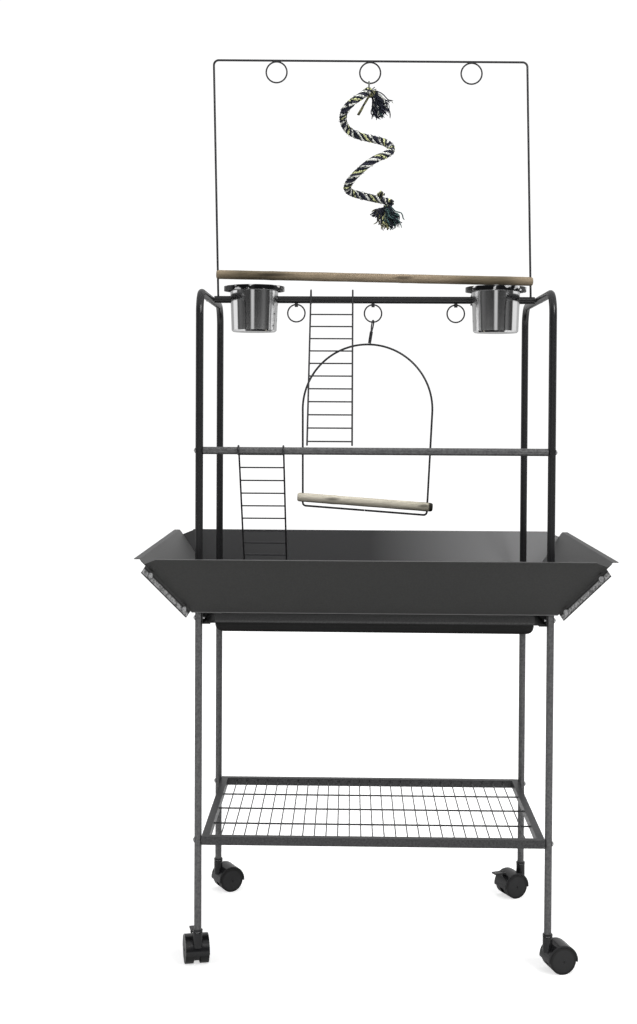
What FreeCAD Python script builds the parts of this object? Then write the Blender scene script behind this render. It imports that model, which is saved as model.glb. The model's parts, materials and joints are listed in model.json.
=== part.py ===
import FreeCAD, Part
import math
import os

import Sketcher

# A parrot play stand: two bent side frames on wheeled legs, joined by bars, with a flared
# skirt and a slide-out tray at half height, a wire shelf below, and a bar above that carries
# a wire arch, two food cups, toy rings, a swing, ladders and a rope toy.
# Origin: centre of the footprint on the floor. X to the right, Y to the back, Z up, in mm.

Vector = FreeCAD.Vector
Rotation = FreeCAD.Rotation
Placement = FreeCAD.Placement
X_AXIS, Y_AXIS, Z_AXIS = Vector(1, 0, 0), Vector(0, 1, 0), Vector(0, 0, 1)

os.makedirs("parts", exist_ok=True)
doc = FreeCAD.newDocument("play_stand")

# ---------------------------------------------------------------- driving dimensions
DRIVING = [
    ("span_x", 610, "leg centre to leg centre, side to side"),
    ("span_y", 400, "leg centre to leg centre, front to back"),
    ("fit_gap", 0.05, "radial clearance of a pin in its hole"),
    ("free_gap", 0.4, "clearance between parts that move past each other"),
    ("leg_dia", 12.7, "leg tube, outside"),
    ("leg_wall", 1.2, "leg tube wall"),
    ("leg_foot", 66, "height of a leg's lower end"),
    ("leg_head", 650, "height where a side frame sits on a leg"),
    ("spigot_len", 60, "leg's reduced end inside the side frame"),
    ("hoop_dia", 13.5, "side frame tube, outside"),
    ("hoop_wall", 1, "side frame tube wall"),
    ("hoop_top", 1180, "side frame's top run, tube centre"),
    ("hoop_bend", 38, "side frame's bend, centre line"),
    ("cross_dia", 13.4, "cross bar between the two top runs"),
    ("mid_dia", 13, "mid bar between the front posts"),
    ("mid_height", 904, "mid bar centre"),
    ("bolt_dia", 5, "frame bolts"),
    ("bolt_head_dia", 9.5, "domed bolt heads"),
    ("bolt_head_rise", 3, "domed bolt heads"),
    ("skirt_base", 623, "lower edge of the flared skirt"),
    ("skirt_rise", 100, "skirt height"),
    ("skirt_flare", 80, "how far a skirt panel leans out"),
    ("skirt_lip", 10, "flat lip along a panel's top"),
    ("skirt_foot", 24, "flat foot along a panel's bottom"),
    ("skirt_sheet", 1.2, "skirt sheet thickness"),
    ("skirt_offset", 11, "skirt's lower edge outside the leg centres"),
    ("clip_run_long", 38, "corner cut along the long panels' top"),
    ("clip_run_side", 16, "corner cut along the side panels' top"),
    ("clip_drop", 15, "corner cut, down the panel"),
    ("flange_width", 15, "corner flanges of the skirt"),
    ("flange_len", 128, "corner flanges, along the mitre"),
    ("flange_start", 5, "corner flanges begin this far up the mitre"),
    ("flange_bolt_inset", 16, "flange bolts, from the flange's ends"),
    ("grille_frame", 4, "floor grille's frame wire"),
    ("grille_wire", 2.6, "floor grille's cross wires"),
    ("grille_pitch", 19, "floor grille's wire spacing"),
    ("base_bar", 12.7, "square bars under the skirt, front and back"),
    ("runner_width", 14, "tray runner channel, width"),
    ("runner_height", 20, "tray runner channel, height"),
    ("runner_wall", 1.2, "tray runner channel, wall"),
    ("tray_width", 552, "slide-out tray between its lips"),
    ("tray_depth", 390, "slide-out tray, front to back"),
    ("tray_height", 17, "slide-out tray below its lips"),
    ("tray_taper", 5, "how far each tray wall leans in"),
    ("tray_wall", 1.2, "slide-out tray, sheet"),
    ("tray_lip", 19, "tray's side lips"),
    ("tray_fold", 609, "fold across the tray's front"),
    ("shelf_height", 224, "shelf frame centre"),
    ("rail_width", 13, "shelf rails"),
    ("rail_height", 14.5, "shelf rails"),
    ("shelf_wire", 3, "shelf wires, lengthwise"),
    ("shelf_cross_wire", 2.2, "shelf wires, crosswise"),
    ("shelf_pitch", 20.5, "spacing of the shelf's crosswise wires"),
    ("shelf_cross_count", 27, "crosswise wires"),
    ("shelf_long_pitch", 98, "spacing of the shelf's lengthwise wires"),
    ("arch_wire", 4, "wire of the top arch"),
    ("arch_foot", 291, "arch legs, from the middle"),
    ("arch_top", 1624.5, "arch's top run, left corner"),
    ("arch_lean", 10, "how far the arch leans to the left"),
    ("arch_drop", 4, "right corner below the left"),
    ("arch_bend", 9, "arch corners"),
    ("toy_ring_dia", 41.6, "rings welded under the arch, outside"),
    ("toy_ring_wire", 3, "rings welded under the arch"),
    ("perch_dia", 16.6, "wooden perch across the arch"),
    ("perch_len", 590, "wooden perch across the arch"),
    ("perch_height", 1221, "wooden perch, middle"),
    ("perch_slope", 1.1, "wooden perch falls to the right, degrees"),
    ("cup_spread", 219, "food cups, from the middle"),
    ("cup_reach", 72, "food cups, in front of the cross bar"),
    ("cup_rim_dia", 103, "cup rim"),
    ("cup_mouth_dia", 88, "cup body at the top"),
    ("cup_floor_dia", 82, "cup body at the bottom"),
    ("cup_depth", 83, "cup height"),
    ("cup_wall", 1, "cup wall"),
    ("cup_rim_height", 1199, "top of the cups"),
    ("holder_width", 8, "cup holder ring, width"),
    ("holder_thick", 8, "cup holder ring, thickness"),
    ("holder_arm_dia", 4.4, "cup holder arms"),
    ("holder_arm_rise", 12.5, "cup holder arms above the bar's centre"),
    ("holder_outer_dia", 110, "cup holder ring, outside"),
    ("holder_arm_gap", 74, "cup holder arms, centre to centre"),
    ("loose_ring_dia", 35, "rings under the cross bar, outside"),
    ("loose_ring_wire", 2.8, "rings under the cross bar"),
    ("loose_ring_drop", 9, "ring wire below the bar's centre"),
    ("lug_width", 6, "lugs that hold the rings"),
    ("left_ring_x", -145, "left loose ring"),
    ("centre_ring_x", -2, "centre loose ring"),
    ("right_ring_x", 152, "right loose ring"),
    ("swing_wire", 3.8, "swing arch wire"),
    ("swing_radius", 121, "swing arch, centre line"),
    ("swing_height", 310, "swing arch's crown above the wire's lowest run"),
    ("swing_draw_in", 5, "swing legs lean in by this much"),
    ("hook_lean", 9, "swing hook hangs to the left, degrees"),
    ("swing_lean", 1.25, "swing hangs to the left, degrees"),
    ("swing_skew", 5.8, "left end of the swing's perch above the middle"),
    ("swing_perch_dia", 16.6, "swing perch"),
    ("swing_perch_len", 254, "swing perch"),
    ("swing_perch_lift", 15.5, "swing perch above the wire's lowest run"),
    ("hook_wire", 2.6, "swing hook wire"),
    ("hook_width", 10, "swing hook loop, centre line"),
    ("hook_loop", 22, "swing hook loop, height"),
    ("hook_shank", 22, "twisted shank below the loop"),
    ("ladder_width", 78, "ladder, rail centre to rail centre"),
    ("ladder_wire", 3.2, "ladder rails"),
    ("rung_wire", 2.6, "ladder rungs"),
    ("rung_pitch", 28.4, "ladder rung spacing"),
    ("rung_count", 12, "ladder rungs"),
    ("first_rung", 14, "first rung below the hook"),
    ("ladder_tail", 8, "rail below the last rung"),
    ("high_hook_rise", 12, "upper ladder's hook above the bar"),
    ("high_ladder_x", -79, "upper ladder"),
    ("low_ladder_x", -198, "lower ladder"),
    ("wheel_dia", 47, "caster wheels"),
    ("wheel_width", 15, "one wheel of a twin caster"),
    ("web_width", 11, "caster body between its wheels"),
    ("trail", 21, "axle behind the swivel axis"),
    ("hood_wall", 3, "caster hood over the wheels"),
    ("hood_end", 21, "height where the hood ends"),
    ("boss_dia", 17, "boss round the swivel stem"),
    ("boss_top", 61.5, "top of the boss"),
    ("stem_dia", 8, "swivel stem"),
    ("stem_foot", 36, "stem's lower end"),
    ("stem_len", 66, "swivel stem"),
    ("collar_dia", 17.5, "plug's collar under the leg"),
    ("collar_thick", 3, "plug's collar under the leg"),
    ("axle_dia", 6, "caster axle"),
    ("pedal_width", 15, "brake pedal"),
    ("pedal_len", 17, "brake pedal beyond its pin"),
    ("pedal_pin", 3, "brake pedal's pin"),
    ("rope_dia", 15, "rope toy"),
    ("rope_centre_x", -12, "rope toy's tie, from the middle"),
    ("tie_dia", 3, "cord that ties the rope toy"),
    ("tie_loop_radius", 8, "tie's loop, centre line"),
    ("top_bunch_len", 48, "frayed bunch at the rope's top"),
    ("end_bunch_len", 42, "frayed bunch at the rope's end"),
]
sizes = doc.addObject("Spreadsheet::Sheet", "Sizes")
for row, (alias, value, note) in enumerate(DRIVING, start=1):
    sizes.set(f"A{row}", note)
    sizes.set(f"B{row}", str(value))
    sizes.setAlias(f"B{row}", alias)
doc.recompute()

nodes = []


def size(alias):
    """A driving dimension as a number, for shapes that are made in code."""
    return float(sizes.get(alias))


def expr(text):
    """Puts the sheet's name before each alias in a formula."""
    words, word = [], ""
    for char in text + " ":
        if char.isalnum() or char == "_" or (char == "." and word[:1].isdigit()):
            word += char
            continue
        words.append(f"Sizes.{word}" if word in ALIASES else word)
        words.append(char)
        word = ""
    return "".join(words).strip()


ALIASES = {alias for alias, _, _ in DRIVING}


def bind(obj, **formulas):
    for name, formula in formulas.items():
        obj.setExpression(name, expr(formula))
    return obj


def place(obj, x="0", y="0", z="0", rotation=None):
    """Puts an object at a place given by three formulas, turned by a rotation."""
    obj.Placement = Placement(Vector(), rotation or Rotation())
    for axis, formula in zip("xyz", (x, y, z)):
        if formula != "0":
            obj.setExpression(f"Placement.Base.{axis}", expr(formula))
    return obj


def node(obj, name):
    obj.Label = name
    nodes.append(obj)
    return obj


def box(name, length, width, height, x="0", y="0", z="0", rotation=None):
    obj = doc.addObject("Part::Box", name)
    bind(obj, Length=length, Width=width, Height=height)
    return place(obj, x, y, z, rotation)


ALONG = {"x": Rotation(Y_AXIS, 90), "y": Rotation(X_AXIS, -90), "z": Rotation()}


def rod(name, diameter, height, x="0", y="0", z="0", along="z"):
    obj = doc.addObject("Part::Cylinder", name)
    bind(obj, Radius=f"({diameter}) / 2", Height=height)
    rotation = ALONG[along] if isinstance(along, str) else along
    return place(obj, x, y, z, rotation)


def fused(name, *shapes):
    obj = doc.addObject("Part::MultiFuse", name)
    obj.Shapes = list(shapes)
    return obj


def cut(name, base, *tools):
    obj = doc.addObject("Part::Cut", name)
    obj.Base = base
    obj.Tool = tools[0] if len(tools) == 1 else fused(f"{name}_tools", *tools)
    return obj


def group(name, *shapes):
    """Several loose solids in one node."""
    obj = doc.addObject("Part::Compound", name)
    obj.Links = list(shapes)
    return obj


def outline(body, name, plane, corners):
    """A closed sketch of straight sides; each corner is a pair of formulas."""
    sketch = body.newObject("Sketcher::SketchObject", name)
    origin_plane = next(f for f in body.Origin.OriginFeatures if f.Role == plane)
    sketch.AttachmentSupport = [(origin_plane, "")]
    sketch.MapMode = "FlatFace"
    values = [[doc_value(formula) for formula in corner] for corner in corners]
    points = [Vector(u, v, 0) for u, v in values]
    count = len(points)
    for i in range(count):
        sketch.addGeometry(Part.LineSegment(points[i], points[(i + 1) % count]), False)
    for i in range(count):
        sketch.addConstraint(Sketcher.Constraint("Coincident", i, 2, (i + 1) % count, 1))
    for i, (corner, point) in enumerate(zip(corners, values)):
        for kind, formula, number, axis in zip(("DistanceX", "DistanceY"), corner, point, (-2, -1)):
            if formula == "0":
                sketch.addConstraint(Sketcher.Constraint("PointOnObject", i, 1, axis))
                continue
            index = sketch.addConstraint(Sketcher.Constraint(kind, i, 1, number))
            sketch.setExpression(f"Constraints[{index}]", expr(formula))
    return sketch


def doc_value(formula):
    """The number that a formula of the sheet's aliases gives now."""
    return float(sizes.evalExpression(expr(formula).replace("Sizes.", "")))


def turned(name, corners, plane="XZ_Plane"):
    """A body of revolution about Z; each corner is (radius, height)."""
    body = doc.addObject("PartDesign::Body", name)
    sketch = outline(body, f"{name}_profile", plane, corners)
    spin = body.newObject("PartDesign::Revolution", f"{name}_spin")
    spin.Profile = sketch
    spin.ReferenceAxis = (sketch, ["V_Axis"])
    spin.Angle = 360
    return body


def extruded(name, corners, length, plane="YZ_Plane"):
    """A sheet or bar of constant section, centred on its plane."""
    body = doc.addObject("PartDesign::Body", name)
    sketch = outline(body, f"{name}_profile", plane, corners)
    pad = body.newObject("PartDesign::Pad", f"{name}_pad")
    pad.Profile = sketch
    pad.Midplane = True
    pad.setExpression("Length", expr(length))
    return body


def rounded_path(points, radii):
    """Straight runs through the points, with a tangent arc at each inner point."""
    edges, last = [], points[0]
    for before, corner, after, radius in zip(points, points[1:], points[2:], radii):
        into = (before - corner).normalize()
        out = (after - corner).normalize()
        half = into.getAngle(out) / 2
        reach = radius / math.tan(half)
        start, end = corner + into * reach, corner + out * reach
        to_centre = (into + out).normalize()
        middle = corner + to_centre * (radius / math.sin(half) - radius)
        if (start - last).Length > 1e-6:
            edges.append(Part.LineSegment(last, start).toShape())
        edges.append(Part.Arc(start, middle, end).toShape())
        last = end
    edges.append(Part.LineSegment(last, points[-1]).toShape())
    return Part.Wire(edges)


def along_path(path, diameter):
    """A round solid that follows a path; its volume has to be section times length."""
    edge = path.OrderedEdges[0]
    start = edge.valueAt(edge.FirstParameter)
    circle = Part.Circle(start, edge.tangentAt(edge.FirstParameter), diameter / 2)
    solid = path.makePipeShell([Part.Wire(circle.toShape())], True, False)
    expected = math.pi * diameter**2 / 4 * path.Length
    if abs(solid.Volume / expected - 1) > 0.01:
        raise RuntimeError("a swept wire has the wrong volume")
    return solid


def bent(points, bend, diameter):
    radii = bend if isinstance(bend, list) else [bend] * (len(points) - 2)
    return along_path(rounded_path(points, radii), diameter)


def feature(name, shape, placement=None):
    obj = doc.addObject("Part::Feature", name)
    obj.Shape = shape
    obj.Placement = placement or Placement()
    return obj


SIDES = (("left", -1), ("right", 1))
ENDS = (("front", -1), ("rear", 1))

# ---------------------------------------------------------------- side frames
# Each side frame is one tube bent twice: up a front post, back over the top and down a rear
# post. It slips over the reduced ends of the two legs below.
half_y = size("span_y") / 2
for side, sign in SIDES:
    x = sign * size("span_x") / 2
    line = [
        Vector(x, -half_y, size("leg_head")),
        Vector(x, -half_y, size("hoop_top")),
        Vector(x, half_y, size("hoop_top")),
        Vector(x, half_y, size("leg_head")),
    ]
    outer = feature(f"hoop_skin_{side}", bent(line, size("hoop_bend"), size("hoop_dia")))
    bore_dia = size("hoop_dia") - 2 * size("hoop_wall")
    inner = feature(f"hoop_bore_{side}", bent(line, size("hoop_bend"), bore_dia))
    bolt_hole = "bolt_dia + 4 * fit_gap"
    holes = [
        rod(f"hoop_hole_{label}_{side}", bolt_hole, "2 * hoop_dia",
            f"{sign} * span_x / 2 - hoop_dia", y, z, "x")
        for label, y, z in (("mid", "-span_y / 2", "mid_height"), ("top", "0", "hoop_top"))
    ]
    node(cut(f"hoop_{side}", outer, inner, *holes), f"side_hoop_{side}")

# ---------------------------------------------------------------- legs
# Round tube with a reduced upper end for the side frame, an open lower end for the caster's
# plug, and cross holes for the runner and shelf bolts.
RUNNER_BOLT_Z = "skirt_base - runner_height / 2"
for side, sign in SIDES:
    for end, back in ENDS:
        tag = f"{end}_{side}"
        x, y = f"{sign} * span_x / 2", f"{back} * span_y / 2"
        spigot_dia = "hoop_dia - 2 * hoop_wall - 2 * fit_gap"
        tube = rod(f"leg_tube_{tag}", "leg_dia", "leg_head - leg_foot", x, y, "leg_foot")
        spigot = rod(f"leg_spigot_{tag}", spigot_dia, "spigot_len + leg_wall",
                     x, y, "leg_head - leg_wall")
        bore = rod(f"leg_bore_{tag}", "leg_dia - 2 * leg_wall", "leg_head - leg_foot - leg_wall",
                   x, y, "leg_foot - leg_wall")
        neck = rod(f"leg_neck_{tag}", f"{spigot_dia} - 2 * leg_wall", "spigot_len + 4 * leg_wall",
                   x, y, "leg_head - 3 * leg_wall")
        holes = [
            rod(f"leg_hole_{label}_{tag}", bolt_hole, "2 * leg_dia",
                f"{sign} * span_x / 2 - leg_dia", y, z, "x")
            for label, z in (("shelf", "shelf_height"), ("runner", RUNNER_BOLT_Z))
        ]
        body = cut(f"leg_{tag}", fused(f"leg_blank_{tag}", tube, spigot), bore, neck, *holes)
        node(body, f"leg_{tag}")

# ---------------------------------------------------------------- bars
# The cross bar joins the side frames at the top, the mid bar joins the front posts, and two
# square bars tie the legs under the skirt. Each end is closed by a threaded plug.
CROSS_HALF = "(span_x / 2 - hoop_dia / 2)"
SOCKET_Z = "hoop_top - 2"
leg_direction = Vector(-size("arch_lean"), 0, size("arch_top") - size("hoop_top"))
cross = rod("cross_blank", "cross_dia", f"2 * {CROSS_HALF}", f"-{CROSS_HALF}", "0", "hoop_top", "x")
cross_cuts = [
    rod(f"cross_bolt_hole_{side}", bolt_hole, "7", f"{sign} * {CROSS_HALF} - 3.5", "0",
        "hoop_top", "x")
    for side, sign in SIDES
]
cross_cuts += [
    rod(f"cross_socket_{side}", "arch_wire + 6 * fit_gap", "cross_dia", f"{sign} * arch_foot",
        "0", SOCKET_Z, Rotation(Z_AXIS, leg_direction))
    for side, sign in SIDES
]
node(cut("cross", cross, *cross_cuts), "cross_bar")

mid = rod("mid_blank", "mid_dia", f"2 * {CROSS_HALF}", f"-{CROSS_HALF}", "-span_y / 2",
          "mid_height", "x")
mid_cuts = [
    rod(f"mid_bolt_hole_{side}", bolt_hole, "30", f"{sign} * {CROSS_HALF} - 15",
        "-span_y / 2", "mid_height", "x")
    for side, sign in SIDES
]
node(cut("mid", mid, *mid_cuts), "mid_bar")

LEG_INNER = "(span_x / 2 - leg_dia / 2)"
for end, back in ENDS:
    bar = box(f"base_{end}", f"2 * {LEG_INNER}", "base_bar", "base_bar", f"-{LEG_INNER}",
              f"{back} * span_y / 2 - base_bar / 2", "skirt_base + skirt_sheet")
    node(bar, f"base_bar_{end}")

# ---------------------------------------------------------------- bolts
def bolt(name, x, y, z, sign, reach):
    """A domed bolt along X whose head stands outside the frame; sign is +1 for +X heads."""
    shank_x = x if sign < 0 else f"{x} - ({reach})"
    shank = rod(f"{name}_shank", "bolt_dia", reach, shank_x, y, z, "x")
    dome = doc.addObject("Part::Sphere", f"{name}_dome")
    bind(dome, Radius="(bolt_head_dia^2 / 4 + bolt_head_rise^2) / (2 * bolt_head_rise)")
    dome.Angle1, dome.Angle2, dome.Angle3 = -90, 90, 360
    place(dome, f"{x} - {sign} * ((bolt_head_dia^2 / 4 - bolt_head_rise^2) / (2 * bolt_head_rise))",
          y, z)
    keep_x = x if sign > 0 else f"{x} - 2 * bolt_head_rise"
    keep = box(f"{name}_keep", "2 * bolt_head_rise", "2 * bolt_head_dia", "2 * bolt_head_dia",
               keep_x, f"{y} - bolt_head_dia", f"{z} - bolt_head_dia")
    head = doc.addObject("Part::Common", f"{name}_head")
    head.Base, head.Tool = dome, keep
    return fused(name, shank, head)


upper, lower = [], []
for side, sign in SIDES:
    hoop_face = f"{sign} * (span_x / 2 + hoop_dia / 2)"
    leg_face = f"{sign} * (span_x / 2 + leg_dia / 2)"
    upper.append(bolt(f"cross_bolt_{side}", hoop_face, "0", "hoop_top", sign, "hoop_dia + 3"))
    upper.append(bolt(f"mid_bolt_{side}", hoop_face, "-span_y / 2", "mid_height", sign,
                      "hoop_dia + 12"))
    for end, back in ENDS:
        y = f"{back} * span_y / 2"
        lower.append(bolt(f"shelf_bolt_{end}_{side}", leg_face, y, "shelf_height", sign,
                          "leg_dia + 12"))
        lower.append(bolt(f"runner_bolt_{end}_{side}", leg_face, y, RUNNER_BOLT_Z, sign,
                          "leg_dia + runner_wall + 3"))
node(group("upper_bolts", *upper), "upper_frame_bolts")
node(group("lower_bolts", *lower), "lower_frame_bolts")

# ---------------------------------------------------------------- skirt
# Four flared sheet panels. Each has a flat foot, a sloping wall and a flat lip, is mitred at
# its ends, and carries a flange down each mitre, bolted back to back with its neighbour's.
RISE, FLARE = size("skirt_rise"), size("skirt_flare")
MITRE_LEN = math.sqrt(RISE**2 + 2 * FLARE**2)
SHEET_RUN = math.hypot(RISE, FLARE) / RISE
MITRE_GAP = 0.2


def mitre_axes(sign):
    """Directions at a front corner: up the mitre edge, out from it, and across the flange."""
    diagonal = Vector(sign, -1, 0).normalize()
    up_edge = (diagonal * FLARE * math.sqrt(2) + Z_AXIS * RISE).normalize()
    outward = (diagonal * RISE - Z_AXIS * FLARE * math.sqrt(2)).normalize()
    return up_edge, outward, up_edge.cross(outward)


def flange_bolt_places():
    """Distances up the mitre edge of the two bolts in a flange."""
    start, inset = size("flange_start"), size("flange_bolt_inset")
    return start + inset, start + size("flange_len") - inset


def skirt_panel(name, along, across, clip_run, turn):
    """One panel, made as the front one and turned about Z to its side."""
    foot, top = f"-({across} + skirt_offset)", "skirt_base + skirt_rise"
    run = f"(skirt_sheet * {SHEET_RUN:.5f})"
    end = f"({along} + skirt_offset)"
    sheet = extruded(f"{name}_sheet", [
        (f"{foot} + skirt_foot", "skirt_base"),
        (foot, "skirt_base"),
        (f"{foot} - skirt_flare", top),
        (f"{foot} - skirt_flare - skirt_lip", top),
        (f"{foot} - skirt_flare - skirt_lip", f"{top} + skirt_sheet"),
        (f"{foot} - skirt_flare + {run} - skirt_sheet * skirt_flare / skirt_rise",
         f"{top} + skirt_sheet"),
        (f"{foot} + {run} - skirt_sheet * skirt_flare / skirt_rise", "skirt_base + skirt_sheet"),
        (f"{foot} + skirt_foot", "skirt_base + skirt_sheet"),
    ], f"2 * ({end} + skirt_flare + skirt_lip)")
    wide, narrow = "3 * skirt_flare", "1.5 * skirt_foot"
    keep = extruded(f"{name}_mitres", [
        (f"-({end} + {wide} - {MITRE_GAP})", f"{foot} - {wide}"),
        (f"{end} + {wide} - {MITRE_GAP}", f"{foot} - {wide}"),
        (f"{end} - {narrow} - {MITRE_GAP}", f"{foot} + {narrow}"),
        (f"-({end} - {narrow} - {MITRE_GAP})", f"{foot} + {narrow}"),
    ], "4 * leg_head", "XY_Plane")
    mitred = doc.addObject("Part::Common", f"{name}_mitred")
    mitred.Base, mitred.Tool = sheet, keep
    tip = f"({end} + skirt_flare + skirt_lip)"
    clips, flanges = [], []
    for label, sign in SIDES:
        clips.append(extruded(f"{name}_clip_{label}", [
            (f"{sign} * ({tip} - {clip_run})", f"{top} + 2 * skirt_sheet"),
            (f"{sign} * ({tip} + {clip_run})", f"{top} + 2 * skirt_sheet"),
            (f"{sign} * ({tip} + {clip_run})", f"{top} - 2 * clip_drop"),
            (f"{sign} * ({tip} - {clip_run})", top),
        ], "8 * span_y", "XZ_Plane"))
        clips.append(rod(f"{name}_notch_{label}", "leg_dia + 2 * free_gap", "4 * skirt_foot",
                         f"{sign} * {along}", f"-{across}", "skirt_base - 2 * skirt_foot"))
        up_edge, outward, across_flange = mitre_axes(sign)
        corner = Vector(sign * (size_of(end)), size_of(foot), size("skirt_base"))
        side_step = 0 if sign < 0 else -size("skirt_sheet")
        start = corner + up_edge * size("flange_start") - outward * 0.8 * size("skirt_sheet")
        start += across_flange * (side_step - sign * MITRE_GAP / math.sqrt(2))
        plate = doc.addObject("Part::Box", f"{name}_plate_{label}")
        bind(plate, Length="flange_len", Width="flange_width", Height="skirt_sheet")
        plate.Placement = Placement(start, Rotation(up_edge, outward, across_flange, "ZXY"))
        holes = []
        for number, distance in enumerate(flange_bolt_places()):
            hole = doc.addObject("Part::Cylinder", f"{name}_hole_{label}_{number}")
            bind(hole, Radius="bolt_dia / 2 + 2 * fit_gap", Height="8 * skirt_sheet")
            centre = corner + up_edge * distance + outward * (size("flange_width") / 2)
            hole.Placement = Placement(centre - across_flange * 4 * size("skirt_sheet"),
                                       Rotation(Z_AXIS, across_flange))
            holes.append(hole)
        flanges.append(cut(f"{name}_flange_{label}", plate, *holes))
    panel = fused(name, cut(f"{name}_clipped", mitred, *clips), *flanges)
    panel.Placement = Placement(Vector(), Rotation(Z_AXIS, turn))
    return panel


def size_of(formula):
    return doc_value(formula)


for label, turn, along, across, run in (
    ("front", 0, "span_x / 2", "span_y / 2", "clip_run_long"),
    ("right", 90, "span_y / 2", "span_x / 2", "clip_run_side"),
    ("rear", 180, "span_x / 2", "span_y / 2", "clip_run_long"),
    ("left", 270, "span_y / 2", "span_x / 2", "clip_run_side"),
):
    node(skirt_panel(f"panel_{label}", along, across, run, turn), f"skirt_panel_{label}")

# Two bolts clamp each pair of corner flanges; the domed heads face the front or the back.
flange_bolts = []
for turn in (0, 180):
    for label, sign in SIDES:
        up_edge, outward, across_flange = mitre_axes(sign)
        facing = across_flange * -sign
        corner = Vector(sign * size_of("span_x / 2 + skirt_offset"),
                        size_of("-(span_y / 2 + skirt_offset)"), size("skirt_base"))
        for number, distance in enumerate(flange_bolt_places()):
            centre = corner + up_edge * distance + outward * (size("flange_width") / 2)
            seat = size("skirt_sheet") + 2 * MITRE_GAP
            name = f"flange_bolt_{label}_{turn}_{number}"
            shank = doc.addObject("Part::Cylinder", f"{name}_shank")
            bind(shank, Radius="bolt_dia / 2", Height="6 * skirt_sheet")
            shank.Placement = Placement(centre - facing * 5 * size("skirt_sheet"),
                                        Rotation(Z_AXIS, facing))
            pieces = [shank]
            for part_name, offset in (("head", seat), ("nut", -seat - size("bolt_head_rise"))):
                disc = doc.addObject("Part::Cylinder", f"{name}_{part_name}")
                bind(disc, Radius="bolt_head_dia / 2", Height="bolt_head_rise")
                disc.Placement = Placement(centre + facing * offset, Rotation(Z_AXIS, facing))
                pieces.append(disc)
            clamp = fused(name, *pieces)
            clamp.Placement = Placement(Vector(), Rotation(Z_AXIS, turn))
            flange_bolts.append(clamp)
node(group("flange_bolts", *flange_bolts), "skirt_bolts")

# ---------------------------------------------------------------- tray, runners and grille
# A pressed sheet tray hangs by its side lips in two channels between the legs and pulls out to
# the front. A wire grille above it lies on the skirt's feet.
CHANNEL_FACE = LEG_INNER
for side, sign in SIDES:
    corner_x = f"-{CHANNEL_FACE}" if sign < 0 else f"{CHANNEL_FACE} - runner_width"
    runner_len = "span_y + leg_dia"
    skin = box(f"runner_skin_{side}", "runner_width", runner_len, "runner_height",
               corner_x, "-span_y / 2 - leg_dia / 2", "skirt_base - runner_height")
    inside_x = f"{corner_x} + runner_wall" if sign < 0 else f"{corner_x} - runner_wall"
    hollow = box(f"runner_hollow_{side}", "runner_width", f"{runner_len} + 20",
                 "runner_height - 2 * runner_wall", inside_x, "-span_y / 2 - leg_dia / 2 - 10",
                 "skirt_base - runner_height + runner_wall")
    holes = [
        rod(f"runner_hole_{end}_{side}", bolt_hole, "4 * runner_wall",
            f"{sign} * {CHANNEL_FACE} - 2 * runner_wall", f"{back} * span_y / 2",
            RUNNER_BOLT_Z, "x")
        for end, back in ENDS
    ]
    node(cut(f"runner_{side}", skin, hollow, *holes), f"tray_runner_{side}")

LIP_Z = "(skirt_base - runner_height + runner_wall + free_gap)"
TRAY_FRONT = "(-span_y / 2 - skirt_offset + 1)"


def pan(name, inset, floor, top):
    """A tapered block, narrower at its floor, that outlines the tray."""
    wedge = doc.addObject("Part::Wedge", name)
    half = f"(tray_width / 2 - {inset})"
    bind(wedge, Xmin=f"-{half} + tray_taper", Xmax=f"{half} - tray_taper",
         X2min=f"-{half}", X2max=half, Ymin="0", Ymax=f"{top} - ({floor})",
         Zmin=f"{inset} + tray_taper", Zmax=f"tray_depth - {inset} - tray_taper",
         Z2min=inset, Z2max=f"tray_depth - {inset}")
    return place(wedge, "0", f"{TRAY_FRONT} + tray_depth", floor, Rotation(X_AXIS, 90))


tray_floor = f"{LIP_Z} + tray_wall - tray_height"
tray_rim = f"{LIP_Z} + tray_wall"
lips = box("tray_lips", "tray_width + 2 * tray_lip", "tray_depth", "tray_wall",
           "-tray_width / 2 - tray_lip", TRAY_FRONT, LIP_Z)
tray_front = extruded("tray_front", [
    (TRAY_FRONT, "skirt_base - 4 * free_gap"),
    (f"{TRAY_FRONT} - tray_wall", "skirt_base - 4 * free_gap"),
    (f"{TRAY_FRONT} - tray_wall", "tray_fold"),
    (f"{TRAY_FRONT} + tray_taper - tray_wall", tray_floor),
    (f"{TRAY_FRONT} + tray_taper", tray_floor),
    (TRAY_FRONT, "tray_fold"),
], "tray_width")
tray_block = fused("tray_block", pan("tray_outer", "0", tray_floor, tray_rim), lips, tray_front)
tray = cut("tray", tray_block,
           pan("tray_inner", "tray_wall", f"{tray_floor} + tray_wall", f"{tray_rim} + tray_wall"))
node(tray, "slide_out_tray")

grille_half_x = "(span_x / 2 - leg_dia)"
grille_half_y = "(span_y / 2 - base_bar / 2 - grille_frame / 2 - free_gap)"
grille_z = "(skirt_base + skirt_sheet + grille_frame / 2)"
grille = []
for label, sign in SIDES:
    grille.append(rod(f"grille_side_{label}", "grille_frame", f"2 * {grille_half_y}",
                      f"{sign} * {grille_half_x}", f"-{grille_half_y}", grille_z, "y"))
for label, back in ENDS:
    grille.append(rod(f"grille_{label}", "grille_frame", f"2 * {grille_half_x}",
                      f"-{grille_half_x}", f"{back} * {grille_half_y}", grille_z, "x"))
grille_count = int(2 * size_of(grille_half_x) / size("grille_pitch"))
for number in range(1, grille_count):
    offset = f"-{grille_half_x} + {number} * 2 * {grille_half_x} / {grille_count}"
    grille.append(rod(f"grille_wire_{number}", "grille_wire", f"2 * {grille_half_y}", offset,
                      f"-{grille_half_y}", f"{grille_z} + grille_frame / 2", "y"))
node(fused("grille", *grille), "floor_grille")

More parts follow.
